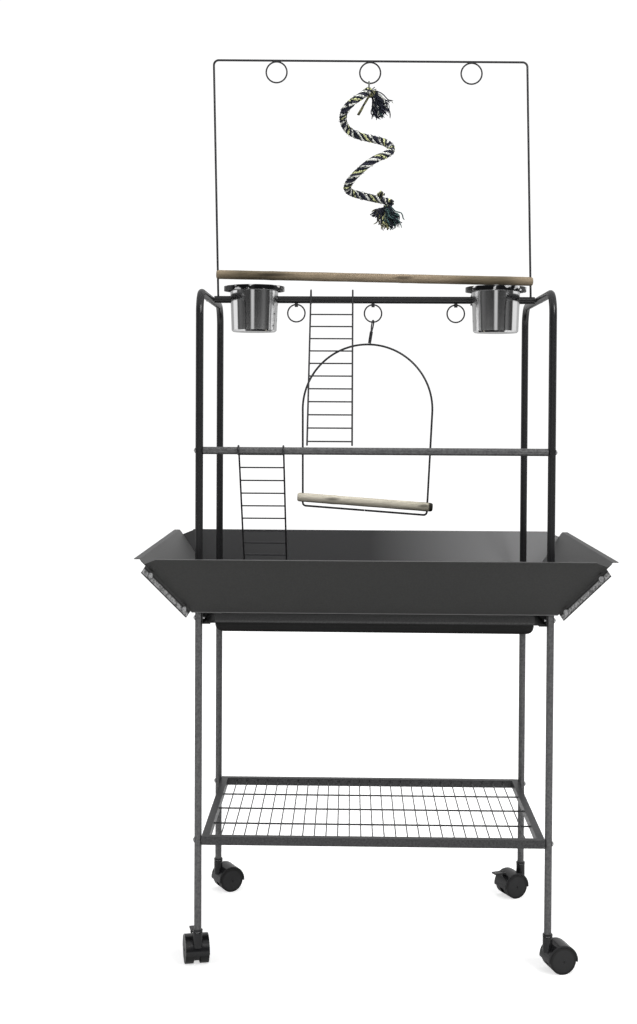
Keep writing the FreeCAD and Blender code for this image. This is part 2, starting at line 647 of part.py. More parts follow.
# ---------------------------------------------------------------- shelf
# A welded frame of rectangular rails between the legs, with a mesh of round wires.
shelf_z = "shelf_height - rail_height / 2"
rails = []
for label, back in ENDS:
    rail = box(f"shelf_{label}", f"2 * {LEG_INNER}", "rail_width", "rail_height",
               f"-{LEG_INNER}", f"{back} * span_y / 2 - rail_width / 2", shelf_z)
    holes = [
        rod(f"shelf_{label}_hole_{side}", bolt_hole, "30", f"{sign} * {LEG_INNER} - 15",
            f"{back} * span_y / 2", "shelf_height", "x")
        for side, sign in SIDES
    ]
    rails.append(cut(f"shelf_rail_{label}", rail, *holes))
for side, sign in SIDES:
    corner_x = f"-{LEG_INNER}" if sign < 0 else f"{LEG_INNER} - rail_width"
    rails.append(box(f"shelf_{side}", "rail_width", "span_y - rail_width", "rail_height",
                     corner_x, "-span_y / 2 + rail_width / 2", shelf_z))
node(fused("shelf_rails", *rails), "shelf_frame")

wires = []
long_half = f"({LEG_INNER} - rail_width)"
for number in (-1, 0, 1):
    wires.append(rod(f"shelf_long_{number + 1}", "shelf_wire", f"2 * {long_half}",
                     f"-{long_half}", f"{number} * shelf_long_pitch", "shelf_height", "x"))
cross_half = "(span_y / 2 - rail_width / 2)"
for number in range(int(size("shelf_cross_count"))):
    offset = f"({number} - (shelf_cross_count - 1) / 2) * shelf_pitch"
    wires.append(rod(f"shelf_cross_{number}", "shelf_cross_wire", f"2 * {cross_half}", offset,
                     f"-{cross_half}", "shelf_height + 0.8 * shelf_wire", "y"))
node(fused("shelf_mesh", *wires), "shelf_wires")

# ---------------------------------------------------------------- arch and upper perch
# A wire arch plugs into the cross bar, with three rings welded under its top run. A wooden
# perch is threaded on its legs.
arch_bottom = size("hoop_top") - 1.9
arch_right = size("arch_top") - size("arch_drop")
arch = [feature("arch_bend", bent([
    Vector(-size("arch_foot"), 0, arch_bottom),
    Vector(-size("arch_foot") - size("arch_lean"), 0, size("arch_top")),
    Vector(size("arch_foot") - size("arch_lean"), 0, arch_right),
    Vector(size("arch_foot"), 0, arch_bottom),
], size("arch_bend"), size("arch_wire")))]


def arch_height(x):
    """Height of the arch's top run, which falls a little to the right."""
    share = (x + size("arch_foot") + size("arch_lean")) / (2 * size("arch_foot"))
    return size("arch_top") - share * size("arch_drop")


RING_WELD = 2.2
TOY_RING_X = {"left": -184, "centre": -10, "right": 178}
ring_radius = (size("toy_ring_dia") - size("toy_ring_wire")) / 2
for label, x in TOY_RING_X.items():
    ring = doc.addObject("Part::Torus", f"toy_ring_{label}")
    bind(ring, Radius1="(toy_ring_dia - toy_ring_wire) / 2", Radius2="toy_ring_wire / 2")
    drop = ring_radius + RING_WELD
    ring.Placement = Placement(Vector(x, 0, arch_height(x) - drop), Rotation(X_AXIS, 90))
    arch.append(ring)
node(fused("arch", *arch), "top_arch")

slope = Rotation(Y_AXIS, size("perch_slope"))
perch = doc.addObject("Part::Cylinder", "perch_stick")
bind(perch, Radius="perch_dia / 2", Height="perch_len")
start = slope.multVec(Vector(-size("perch_len") / 2, 0, 0))
perch.Placement = Placement(start + Vector(0, 0, size("perch_height")), slope * ALONG["x"])
perch_holes = []
for side, sign in SIDES:
    perch_holes.append(rod(f"perch_hole_{side}", "arch_wire + 6 * fit_gap", "120",
                           f"{sign} * arch_foot", "0", SOCKET_Z,
                           Rotation(Z_AXIS, leg_direction)))
node(cut("perch", perch, *perch_holes), "upper_perch")

# ---------------------------------------------------------------- food cups
# A spun steel cup drops into a flat ring whose two arms hook over the cross bar.
RIM_Z = "cup_rim_height"
for side, sign in SIDES:
    cup = turned(f"cup_{side}", [
        ("0", "cup_rim_height - cup_depth"),
        ("cup_floor_dia / 2 - 3", "cup_rim_height - cup_depth"),
        ("cup_floor_dia / 2", "cup_rim_height - cup_depth + 3"),
        ("cup_mouth_dia / 2", "cup_rim_height - cup_wall"),
        ("cup_rim_dia / 2", "cup_rim_height - cup_wall"),
        ("cup_rim_dia / 2", RIM_Z),
        ("cup_mouth_dia / 2 - cup_wall", RIM_Z),
        ("cup_floor_dia / 2 - cup_wall", "cup_rim_height - cup_depth + 3"),
        ("cup_floor_dia / 2 - 3 - cup_wall / 2", "cup_rim_height - cup_depth + cup_wall"),
        ("0", "cup_rim_height - cup_depth + cup_wall"),
    ])
    place(cup, f"{sign} * cup_spread", "-cup_reach", "0")
    node(cup, f"food_cup_{side}")
    seat = "cup_rim_height - cup_wall"
    ring = turned(f"holder_ring_{side}", [
        ("holder_outer_dia / 2 - holder_width", f"{seat} - holder_thick"),
        ("holder_outer_dia / 2", f"{seat} - holder_thick"),
        ("holder_outer_dia / 2", seat),
        ("holder_outer_dia / 2 - holder_width", seat),
    ])
    place(ring, f"{sign} * cup_spread", "-cup_reach", "0")
    arms = []
    for label, hand in SIDES:
        arm_x = sign * size("cup_spread") + hand * size("holder_arm_gap") / 2
        chord = math.sqrt((size("holder_outer_dia") / 2 - 4) ** 2 - size("holder_arm_gap") ** 2 / 4)
        hook_radius = size("cross_dia") / 2 + size("holder_arm_dia") / 2 + 0.3
        bar_z = size("hoop_top")
        arm_z = bar_z + size("holder_arm_rise")
        run = [Vector(arm_x, -size("cup_reach") + chord, arm_z)]
        run.append(Vector(arm_x, -hook_radius - 3, arm_z))
        run.append(Vector(arm_x, hook_radius, bar_z + 0.745 * hook_radius))
        run.append(Vector(arm_x, hook_radius, bar_z - hook_radius))
        arms.append(feature(f"holder_arm_{side}_{label}", bent(run, [3, 6], size("holder_arm_dia"))))
    node(fused(f"holder_{side}", ring, *arms), f"cup_holder_{side}")

# ---------------------------------------------------------------- loose rings and their lugs
RING_WIRE_Z = "(hoop_top - loose_ring_drop)"
lugs = []
for label in ("left", "centre", "right"):
    x = f"{label}_ring_x"
    ring = doc.addObject("Part::Torus", f"loose_{label}")
    bind(ring, Radius1="(loose_ring_dia - loose_ring_wire) / 2", Radius2="loose_ring_wire / 2")
    place(ring, x, "0", f"{RING_WIRE_Z} - (loose_ring_dia - loose_ring_wire) / 2",
          Rotation(X_AXIS, 90))
    node(ring, f"loose_ring_{label}")
    lug_top = "hoop_top - 0.46 * cross_dia"
    block = box(f"lug_block_{label}", "lug_width", "2.6 * loose_ring_wire",
                f"{lug_top} - ({RING_WIRE_Z} - 1.6 * loose_ring_wire)", f"{x} - lug_width / 2",
                "-1.3 * loose_ring_wire", f"{RING_WIRE_Z} - 1.6 * loose_ring_wire")
    eye = rod(f"lug_eye_{label}", "loose_ring_wire + 2 * free_gap + 0.6", "3 * lug_width",
              f"{x} - 1.5 * lug_width", "0", f"{RING_WIRE_Z} - free_gap / 2", "x")
    bar = rod(f"lug_bar_{label}", "cross_dia + fit_gap", "3 * lug_width", f"{x} - 1.5 * lug_width", "0",
              "hoop_top", "x")
    lugs.append(cut(f"lug_{label}", block, eye, bar))
node(group("lugs", *lugs), "ring_lugs")

# ---------------------------------------------------------------- swing
# A wire arch with a wooden perch, hung from the centre ring by a looped and twisted hook.
ring_low = size_of(f"{RING_WIRE_Z} - loose_ring_dia + loose_ring_wire")
pivot = Vector(size("centre_ring_x"), 0, ring_low)
hook_turn = Placement(Vector(), Rotation(Y_AXIS, size("hook_lean")), pivot)
loop_top = ring_low + (size("loose_ring_wire") + size("hook_wire")) / 2 + 0.5
loop_foot = loop_top - size("hook_loop")
half_loop = size("hook_width") / 2
loop_side = Rotation(Z_AXIS, 72).multVec(X_AXIS)
loop_centre = Vector(pivot.x, 0, loop_top)
loop = [
    loop_centre + loop_side * 1.5 - Z_AXIS * size("hook_loop"),
    loop_centre + loop_side * half_loop - Z_AXIS * size("hook_loop") * 0.55,
    loop_centre + loop_side * half_loop,
    loop_centre - loop_side * half_loop,
    loop_centre - loop_side * half_loop - Z_AXIS * size("hook_loop") * 0.55,
    loop_centre - loop_side * 1.5 - Z_AXIS * size("hook_loop"),
]
eye_wire = feature("hook_eye", bent(loop, [4, 4, 4, 4], size("hook_wire")))
shank = doc.addObject("Part::Cylinder", "hook_twist")
bind(shank, Radius="1.15 * hook_wire", Height="hook_shank")
shank.Placement = Placement(Vector(pivot.x, 0, loop_foot + 1 - size("hook_shank")), Rotation())
hook = fused("hook", eye_wire, shank)
hook.Placement = hook_turn
node(hook, "swing_hook")

crown = loop_foot + 1 - size("hook_shank") - size("swing_wire") / 2 - size("free_gap")
crown_at = Vector(pivot.x, 0, crown)
hung = Placement(hook_turn.multVec(crown_at) - crown_at, Rotation())
lean = hung.multiply(Placement(Vector(), Rotation(Y_AXIS, size("swing_lean")), crown_at))
low_run = crown - size("swing_height")
radius = size("swing_radius")
foot_x = radius - size("swing_draw_in")
shoulder = crown - radius
left_low = low_run + size("swing_skew")
right_low = low_run - size("swing_skew")
legs = [
    (Vector(-foot_x, 0, left_low), Vector(-radius, 0, shoulder)),
    (Vector(radius, 0, shoulder), Vector(foot_x, 0, right_low)),
]
centre_x = Vector(pivot.x, 0, 0)
bend = 6.0
left_foot, left_top = (point + centre_x for point in legs[0])
right_top, right_foot = (point + centre_x for point in legs[1])
low_middle = (left_foot + right_foot) * 0.5
weld_gap = (right_foot - left_foot).normalize() * 0.25
first = rounded_path([low_middle + weld_gap, right_foot, right_top], [bend])
last = rounded_path([left_top, left_foot, low_middle - weld_gap], [bend])
over = Part.Arc(right_top, crown_at, left_top).toShape()
wire_path = Part.Wire(first.OrderedEdges + [over] + last.OrderedEdges)
swing_wire = feature("swing_bend", along_path(wire_path, size("swing_wire")))
swing_wire.Placement = lean
node(swing_wire, "swing_frame")

tilt = Rotation(Y_AXIS, math.degrees(math.atan2(left_low - right_low, 2 * foot_x)))
stick = doc.addObject("Part::Cylinder", "swing_stick")
bind(stick, Radius="swing_perch_dia / 2", Height="swing_perch_len")
stick_middle = Vector(pivot.x, 0, low_run + size("swing_perch_lift"))
stick.Placement = Placement(
    stick_middle + tilt.multVec(Vector(-size("swing_perch_len") / 2, 0, 0)), tilt * ALONG["x"])
stick_holes = []
for label, (low, high) in zip(("left", "right"), ((left_foot, left_top), (right_foot, right_top))):
    hole = doc.addObject("Part::Cylinder", f"stick_hole_{label}")
    bind(hole, Radius="swing_wire / 2 + 4 * fit_gap", Height="4 * swing_perch_dia")
    direction = (high - low).normalize()
    hole.Placement = Placement(low - direction * size("swing_perch_dia"),
                               Rotation(Z_AXIS, direction))
    stick_holes.append(hole)
swing_perch = cut("swing_perch_stick", stick, *stick_holes)
swing_perch.Placement = lean
node(swing_perch, "swing_perch")

# ---------------------------------------------------------------- ladders
# Two wire ladders of one size: rails that end in hooks, with welded rungs. The upper one lies
# from the cross bar down on the mid bar, the lower one from the mid bar down on the grille.
RAIL_LEN = size_of("first_rung + (rung_count - 1) * rung_pitch + ladder_tail")


def ladder(name, x, bar, bar_dia, angle, lean_sign, rise):
    """A ladder hooked over a bar at (y, z), leaning by an angle from the vertical."""
    hook_radius = bar_dia / 2 + size("ladder_wire") / 2 + size("free_gap")
    slant = math.radians(angle)
    down = Vector(0, lean_sign * math.sin(slant), -math.cos(slant))
    normal = Vector(0, lean_sign * math.cos(slant), math.sin(slant))
    rails = []
    for label, hand in SIDES:
        rail_x = Vector(x + hand * size("ladder_width") / 2, 0, 0)
        centre = bar + rail_x - down * rise
        near, far = centre + normal * hook_radius, centre - normal * hook_radius
        over = Part.Arc(far, centre - down * hook_radius, near).toShape()
        tip = Part.LineSegment(far + down * (rise + 2), far).toShape()
        run = Part.LineSegment(near, near + down * (rise + RAIL_LEN)).toShape()
        path = Part.Wire([tip, over, run])
        rails.append(feature(f"{name}_rail_{label}", along_path(path, size("ladder_wire"))))
    for number in range(int(size("rung_count"))):
        along = size("first_rung") + number * size("rung_pitch")
        place_at = bar + normal * hook_radius + down * along
        rung = doc.addObject("Part::Cylinder", f"{name}_rung_{number}")
        bind(rung, Radius="rung_wire / 2", Height="ladder_width")
        rung.Placement = Placement(
            place_at + Vector(x - size("ladder_width") / 2, 0, 0), ALONG["x"])
        rails.append(rung)
    return fused(name, *rails)


cross_centre = Vector(0, 0, size("hoop_top"))
mid_centre = Vector(0, -half_y, size("mid_height"))
gap = mid_centre - cross_centre
cross_offset = size("cross_dia") / 2 + size("ladder_wire") / 2 + size("free_gap")
mid_offset = size("mid_dia") / 2 + size("ladder_wire") / 2 + size("free_gap")
high_angle = math.degrees(
    math.atan2(-gap.y, -gap.z) - math.asin((cross_offset - mid_offset) / gap.Length))
node(ladder("high_ladder", size("high_ladder_x"), cross_centre, size("cross_dia"),
            high_angle, -1, size("high_hook_rise")), "upper_ladder")

grille_top = size_of(f"{grille_z} + grille_frame / 2 + grille_wire / 2")
foot_drop = size("mid_height") - grille_top - size("free_gap") - size("ladder_wire") / 2
reach_len = math.hypot(RAIL_LEN, mid_offset)
low_angle = math.degrees(math.acos(foot_drop / reach_len) - math.atan2(mid_offset, RAIL_LEN))
node(ladder("low_ladder", size("low_ladder_x"), mid_centre, size("mid_dia"),
            low_angle, 1, 0), "lower_ladder")
print("ladder angles", round(high_angle, 3), round(low_angle, 3))

# ---------------------------------------------------------------- casters
# Twin-wheel casters: a plug in the leg's end takes the swivel stem; the body has a central web
# and a hood over both wheels. The two brake casters have a pedal behind the hood.
SWIVEL = {
    "front_left": (103, True),
    "front_right": (15, False),
    "rear_left": (28, False),
    "rear_right": (205, True),
}
AXLE_Z = "(wheel_dia / 2)"
DRUM = "(wheel_dia / 2 + 0.8 + hood_wall)"
CASTER_WIDTH = "(web_width + 2 * wheel_width + 1)"


def caster(tag, x, y, angle, braked):
    """A caster in its own frame, trailing along +X, then swivelled to its angle."""
    about = Rotation(Z_AXIS, angle)

    def settle(obj, name):
        place(obj, x, y, "0", about)
        node(obj, f"{name}_{tag}")

    plug = fused(
        f"plug_{tag}",
        rod(f"plug_body_{tag}", "leg_dia - 2 * leg_wall - 2 * fit_gap", "stem_len - 20",
            "0", "0", "leg_foot"),
        rod(f"plug_collar_{tag}", "collar_dia", "collar_thick", "0", "0",
            "leg_foot - collar_thick"),
    )
    plug_bore = rod(f"plug_bore_{tag}", "stem_dia + 2 * fit_gap", "stem_len + 20", "0", "0",
                    "leg_foot - collar_thick - 1")
    settle(cut(f"plug_part_{tag}", plug, plug_bore), "caster_plug")
    stem = fused(
        f"stem_{tag}",
        rod(f"stem_pin_{tag}", "stem_dia", "stem_len", "0", "0", "stem_foot"),
        rod(f"stem_washer_{tag}", "boss_dia - 3", "leg_foot - collar_thick - boss_top - 1.2",
            "0", "0", "boss_top + 0.6"),
    )
    settle(stem, "caster_stem")
    half_web, half_drum = "(web_width / 2)", f"({CASTER_WIDTH} / 2)"
    drum = rod(f"drum_{tag}", f"2 * {DRUM}", CASTER_WIDTH, "trail", f"-{half_drum}", AXLE_Z, "y")
    floor_cut = box(f"hood_floor_{tag}", f"4 * {DRUM}", f"2 * {CASTER_WIDTH}", f"hood_end + {DRUM}",
                    f"trail - 2 * {DRUM}", f"-{CASTER_WIDTH}", f"-{DRUM}")
    boss = rod(f"boss_{tag}", "boss_dia", "boss_top - hood_end - 14", "0", "0", "hood_end + 14")
    web = rod(f"web_{tag}", "wheel_dia - 9", "web_width", "trail", f"-{half_web}", AXLE_Z, "y")
    cavities = [
        rod(f"cavity_{label}_{tag}", "wheel_dia + 1.6", "wheel_width + 3", "trail",
            half_web if hand > 0 else f"-{half_web} - wheel_width - 3", AXLE_Z, "y")
        for label, hand in SIDES
    ]
    bores = [
        rod(f"stem_bore_{tag}", "stem_dia + fit_gap", "stem_len", "0", "0", "stem_foot"),
        rod(f"axle_bore_{tag}", "axle_dia + 2 * fit_gap", f"2 * {CASTER_WIDTH}", "trail",
            f"-{CASTER_WIDTH}", AXLE_Z, "y"),
    ]
    solids = [cut(f"hood_top_{tag}", drum, floor_cut), boss, web]
    pedal_x, pedal_z = f"(trail + {DRUM} * 0.72)", f"({AXLE_Z} + {DRUM} * 0.72 + 5)"
    if braked:
        lug = fused(
            f"pedal_lug_{tag}",
            rod(f"pedal_lug_eye_{tag}", "2.4 * pedal_pin", "pedal_width / 3", pedal_x,
                "-pedal_width / 6", pedal_z, "y"),
            box(f"pedal_lug_foot_{tag}", "2 * pedal_pin", "pedal_width / 3", "2.4 * pedal_pin",
                f"{pedal_x} - 1.4 * pedal_pin", "-pedal_width / 6",
                f"{pedal_z} - 2.4 * pedal_pin"),
        )
        solids.append(lug)
        bores.append(rod(f"pedal_bore_{tag}", "pedal_pin + 2 * fit_gap", "2 * pedal_width",
                         pedal_x, "-pedal_width", pedal_z, "y"))
    settle(cut(f"hood_{tag}", fused(f"hood_solid_{tag}", *solids), *cavities, *bores),
           "caster_hood")
    wheels = []
    for label, hand in SIDES:
        wheel = rod(f"wheel_{label}_{tag}", "wheel_dia", "wheel_width", "trail",
                    f"{half_web} + free_gap" if hand > 0 else
                    f"-{half_web} - free_gap - wheel_width", AXLE_Z, "y")
        hole = rod(f"wheel_bore_{label}_{tag}", "axle_dia + fit_gap", f"2 * {CASTER_WIDTH}",
                   "trail", f"-{CASTER_WIDTH}", AXLE_Z, "y")
        wheels.append(cut(f"wheel_part_{label}_{tag}", wheel, hole))
    wheels.append(rod(f"axle_{tag}", "axle_dia", f"{CASTER_WIDTH} - 2", "trail",
                      f"-{half_drum} + 1", AXLE_Z, "y"))
    settle(group(f"wheels_{tag}", *wheels), "caster_wheels")
    if braked:
        pin = rod(f"pedal_pin_{tag}", "pedal_pin", "pedal_width", pedal_x, "-pedal_width / 2",
                  pedal_z, "y")
        plate = box(f"pedal_plate_{tag}", "pedal_len", "pedal_width", "0.9 * pedal_pin",
                    f"{pedal_x} + 1.6 * pedal_pin", "-pedal_width / 2", f"{pedal_z}")
        cheeks = [
            box(f"pedal_cheek_{label}_{tag}", "3 * pedal_pin", "pedal_width / 5",
                "1.8 * pedal_pin", f"{pedal_x} - 0.9 * pedal_pin",
                "pedal_width * 0.3" if hand > 0 else "-pedal_width / 2",
                f"{pedal_z} - 0.9 * pedal_pin")
            for label, hand in SIDES
        ]
        settle(fused(f"pedal_{tag}", pin, plate, *cheeks), "brake_pedal")


for side, sign in SIDES:
    for end, back in ENDS:
        tag = f"{end}_{side}"
        angle, braked = SWIVEL[tag]
        caster(tag, f"{sign} * span_x / 2", f"{back} * span_y / 2", angle, braked)

# ---------------------------------------------------------------- rope toy
# A stiff cotton rope bent to a loose spiral, tied by a loop to the arch's centre ring, with a
# frayed bunch at its top and its end.
ROPE_ROUTE = [
    (-12, 0, 1569), (-25, -22, 1554), (-43, -38, 1540), (-56, -30, 1528), (-61, -8, 1518),
    (-58, 16, 1507), (-47, 36, 1498), (-28, 46, 1492), (-5, 44, 1487), (17, 30, 1479),
    (30, 8, 1467), (30, -14, 1454), (20, -34, 1444), (1, -45, 1435), (-17, -46, 1423),
    (-35, -38, 1408), (-48, -20, 1396), (-53, 2, 1388), (-46, 24, 1383), (-27, 40, 1380),
    (-4, 44, 1375), (18, 32, 1370), (31, 14, 1362),
]
route = [Vector(*point) for point in ROPE_ROUTE]
runs = [(b - a).Length for a, b in zip(route, route[1:])]
radii = []
for i in range(1, len(route) - 1):
    turn = (route[i] - route[i - 1]).getAngle(route[i + 1] - route[i])
    radii.append(0.45 * min(runs[i - 1], runs[i]) / math.tan(turn / 2))
rope_path = rounded_path(route, radii)
print("rope length", round(rope_path.Length, 1), "radii", [round(r) for r in radii])
node(feature("rope", along_path(rope_path, size("rope_dia"))), "toy_rope")


tie = doc.addObject("Part::Torus", "tie_loop")
bind(tie, Radius1="tie_loop_radius", Radius2="tie_dia / 2")
ring_low_z = arch_height(TOY_RING_X["centre"]) - RING_WELD - 2 * ring_radius
tie_z = ring_low_z + (size("toy_ring_wire") + size("tie_dia")) / 2 + 0.2 - size("tie_loop_radius")
tie.Placement = Placement(Vector(size("rope_centre_x"), 0, tie_z), Rotation(Y_AXIS, 90))
node(tie, "rope_tie")


def bunch(name, top, direction, length, narrow, wide):
    """A frayed end as a plain cone."""
    cone = doc.addObject("Part::Cone", name)
    bind(cone, Height=length, Radius1=narrow, Radius2=wide)
    cone.Placement = Placement(top, Rotation(Z_AXIS, direction))
    return cone


node(bunch("top_bunch", Vector(-4, 9, 1562), Vector(0.33, 0.1, -1), "top_bunch_len",
           "0.4 * rope_dia", "0.8 * rope_dia"), "rope_top_tassel")
node(bunch("end_bunch", Vector(35, 8, 1354), Vector(0.05, -0.05, -1), "end_bunch_len",
           "0.6 * rope_dia", "1.07 * rope_dia"), "rope_end_tassel")

# ---------------------------------------------------------------- checks and files
doc.recompute()
for obj in doc.Objects:
    if "Invalid" in obj.State or "Error" in obj.State:
        raise RuntimeError(f"{obj.Label} did not compute")
for obj in nodes:
    if obj.Shape.isNull() or not obj.Shape.isValid() or not obj.Shape.Solids:
        raise RuntimeError(f"{obj.Label} has no sound shape")
for obj in nodes:
    obj.Shape.exportStep(f"parts/{obj.Label}.step")
print("nodes", len(nodes))
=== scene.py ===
import json
import math
import bpy
import bmesh
import numpy as np
from mathutils import Matrix, Vector, noise


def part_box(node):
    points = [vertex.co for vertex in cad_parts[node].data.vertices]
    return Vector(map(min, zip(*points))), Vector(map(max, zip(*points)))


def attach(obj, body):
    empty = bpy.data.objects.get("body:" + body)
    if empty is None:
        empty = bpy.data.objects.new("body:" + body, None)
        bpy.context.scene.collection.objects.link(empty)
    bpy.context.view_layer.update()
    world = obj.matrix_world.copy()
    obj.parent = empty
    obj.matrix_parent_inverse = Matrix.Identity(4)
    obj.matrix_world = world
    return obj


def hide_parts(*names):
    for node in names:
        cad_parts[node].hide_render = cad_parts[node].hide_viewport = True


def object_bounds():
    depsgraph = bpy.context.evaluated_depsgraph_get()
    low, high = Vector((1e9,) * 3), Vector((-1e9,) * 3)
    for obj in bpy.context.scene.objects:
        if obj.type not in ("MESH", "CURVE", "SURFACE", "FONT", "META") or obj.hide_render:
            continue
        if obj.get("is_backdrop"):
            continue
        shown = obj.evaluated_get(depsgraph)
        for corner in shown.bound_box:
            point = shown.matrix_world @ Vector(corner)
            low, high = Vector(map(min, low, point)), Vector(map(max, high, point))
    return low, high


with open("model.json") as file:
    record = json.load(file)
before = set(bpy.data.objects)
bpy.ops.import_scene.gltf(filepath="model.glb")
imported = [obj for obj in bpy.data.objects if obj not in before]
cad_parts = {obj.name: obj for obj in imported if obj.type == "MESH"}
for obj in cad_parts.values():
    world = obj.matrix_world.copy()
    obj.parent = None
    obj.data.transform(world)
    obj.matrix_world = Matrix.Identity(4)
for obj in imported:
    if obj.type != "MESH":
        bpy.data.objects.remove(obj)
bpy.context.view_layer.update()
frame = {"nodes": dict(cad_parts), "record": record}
scene = bpy.context.scene

# Camera: it stands 2.7 m in front of the stand, at three fifths of its height, and looks almost
# level with the picture shifted. Lens, place and turn come from the frame's corners in the photo.
EYE_PLACE = (-0.0447, -2.7129, 0.9848)
TURN, TILT, ROLL = (math.radians(angle) for angle in (1.22, 88.67, 0.3))
eye = bpy.data.cameras.new("camera")
eye.lens = 51.03
eye.sensor_width = 36
eye.shift_y = -0.0721
eye.clip_end = 100
camera = bpy.data.objects.new("camera", eye)
scene.collection.objects.link(camera)
facing = Matrix.Rotation(TURN, 4, "Z") @ Matrix.Rotation(TILT, 4, "X")
facing = facing @ Matrix.Rotation(ROLL, 4, "Z")
camera.matrix_world = Matrix.Translation(EYE_PLACE) @ facing
scene.camera = camera
scene.view_settings.view_transform = "Standard"

# Rope toy: a stiff rope of seven strands laid round a core, bent to a loose spiral. It follows
# the points below, in millimetres, from the tie at the arch's centre ring to its frayed end.
ROUTE = [
    (-12, 0, 1569), (-25, -22, 1554), (-43, -38, 1540), (-56, -30, 1528), (-61, -8, 1518),
    (-58, 16, 1507), (-47, 36, 1498), (-28, 46, 1492), (-5, 44, 1487), (17, 30, 1479),
    (30, 8, 1467), (30, -14, 1454), (20, -34, 1444), (1, -45, 1435), (-17, -46, 1423),
    (-35, -38, 1408), (-48, -20, 1396), (-53, 2, 1388), (-46, 24, 1383), (-27, 40, 1380),
    (-4, 44, 1375), (18, 32, 1370), (31, 14, 1362),
]
CORE_RADIUS, STRAND_RADIUS = 0.0030, 0.0026
STRAND_OFFSET, UNEVENNESS = 0.0046, 0.0005
LAY, STRAND_SIDES = 0.048, 8
line = bpy.data.curves.new("rope_line", "CURVE")
line.dimensions = "3D"
spline = line.splines.new("NURBS")
spline.points.add(len(ROUTE) - 1)
for point, (x, y, z) in zip(spline.points, ROUTE):
    point.co = (x / 1000, y / 1000, z / 1000, 1)
spline.order_u = 3
spline.use_endpoint_u = True
spline.resolution_u = 12
guide = bpy.data.objects.new("rope_line", line)
scene.collection.objects.link(guide)
sampled = bpy.data.meshes.new_from_object(guide)
centre = [vert.co.copy() for vert in sampled.vertices]
bpy.data.objects.remove(guide)
bpy.data.meshes.remove(sampled)


def frames_along(points):
    """A side and an upward direction at each point of a line, without twist between them."""
    ahead = [(b - a).normalized() for a, b in zip(points, points[1:])]
    ahead.append(ahead[-1])
    side = ahead[0].orthogonal().normalized()
    made = []
    for direction in ahead:
        side = (side - direction * side.dot(direction)).normalized()
        made.append((side, direction.cross(side)))
    return made


def runs_along(points):
    """How far along a line each of its points lies."""
    runs = [0.0]
    for a, b in zip(points, points[1:]):
        runs.append(runs[-1] + (b - a).length)
    return runs


def add_tube(mesh, points, radii, sides, material_index):
    """Adds a closed tube along points to a bmesh, with a UV map around it and along it in cm."""
    uv_layer = mesh.loops.layers.uv.verify()
    rings, runs = [], runs_along(points)
    for point, (side, up), radius in zip(points, frames_along(points), radii):
        ring = []
        for k in range(sides):
            angle = 2 * math.pi * k / sides
            offset = side * math.cos(angle) + up * math.sin(angle)
            ring.append(mesh.verts.new(point + offset * radius))
        rings.append(ring)
    for i in range(len(rings) - 1):
        for k in range(sides):
            n = (k + 1) % sides
            face = mesh.faces.new((rings[i][k], rings[i][n], rings[i + 1][n], rings[i + 1][k]))
            face.material_index = material_index
            face.smooth = True
            corners = ((k, i), (k + 1, i), (k + 1, i + 1), (k, i + 1))
            for loop, (around, along) in zip(face.loops, corners):
                loop[uv_layer].uv = (around / sides, runs[along] * 100)
    for ring, order in ((rings[0], -1), (rings[-1], 1)):
        cap = mesh.faces.new(ring[::order])
        cap.material_index = material_index


def mesh_object(name, mesh, materials, body):
    """Turns a bmesh into a piece that rides on a body."""
    data = bpy.data.meshes.new(name)
    mesh.to_mesh(data)
    mesh.free()
    for item in materials:
        data.materials.append(item)
    piece = bpy.data.objects.new(name, data)
    scene.collection.objects.link(piece)
    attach(piece, body)
    return piece


def yarn(name, light, dark, broken):
    """Cotton yarn: slanted plies with painted shade in their grooves, and dark stretches where
    noise is low.
    """
    item = bpy.data.materials.new(name)
    item.use_nodes = True
    tree = item.node_tree
    shader = tree.nodes["Principled BSDF"]
    shader.inputs["Roughness"].default_value = 0.92
    shader.inputs["Specular IOR Level"].default_value = 0.15
    where = tree.nodes.new("ShaderNodeTexCoord")
    wave = tree.nodes.new("ShaderNodeTexWave")
    wave.bands_direction = "DIAGONAL"
    wave.inputs["Scale"].default_value = 1.6
    wave.inputs["Distortion"].default_value = 2.5
    wave.inputs["Detail"].default_value = 3
    # Painted shade: the ramp darkens the plies' grooves, where the wave that also makes the bump
    # is low.
    ramp = tree.nodes.new("ShaderNodeValToRGB")
    ramp.color_ramp.elements[0].color = (*dark, 1)
    ramp.color_ramp.elements[1].color = (*light, 1)
    stain = tree.nodes.new("ShaderNodeTexNoise")
    stain.inputs["Scale"].default_value = 190
    stain.inputs["Detail"].default_value = 2
    gate = tree.nodes.new("ShaderNodeMapRange")
    gate.inputs["From Min"].default_value = broken
    gate.inputs["From Max"].default_value = broken + 0.06
    mixed = tree.nodes.new("ShaderNodeMixRGB")
    mixed.inputs["Color1"].default_value = (0.012, 0.014, 0.018, 1)
    bump = tree.nodes.new("ShaderNodeBump")
    bump.inputs["Strength"].default_value = 0.6
    bump.inputs["Distance"].default_value = 0.0006
    for a, b in (
        (where.outputs["UV"], wave.inputs["Vector"]),
        (wave.outputs["Fac"], ramp.inputs["Fac"]),
        (where.outputs["Object"], stain.inputs["Vector"]),
        (stain.outputs["Fac"], gate.inputs["Value"]),
        (gate.outputs["Result"], mixed.inputs["Fac"]),
        (ramp.outputs["Color"], mixed.inputs["Color2"]),
        (mixed.outputs["Color"], shader.inputs["Base Color"]),
        (wave.outputs["Fac"], bump.inputs["Height"]),
        (bump.outputs["Normal"], shader.inputs["Normal"]),
    ):
        tree.links.new(a, b)
    return item


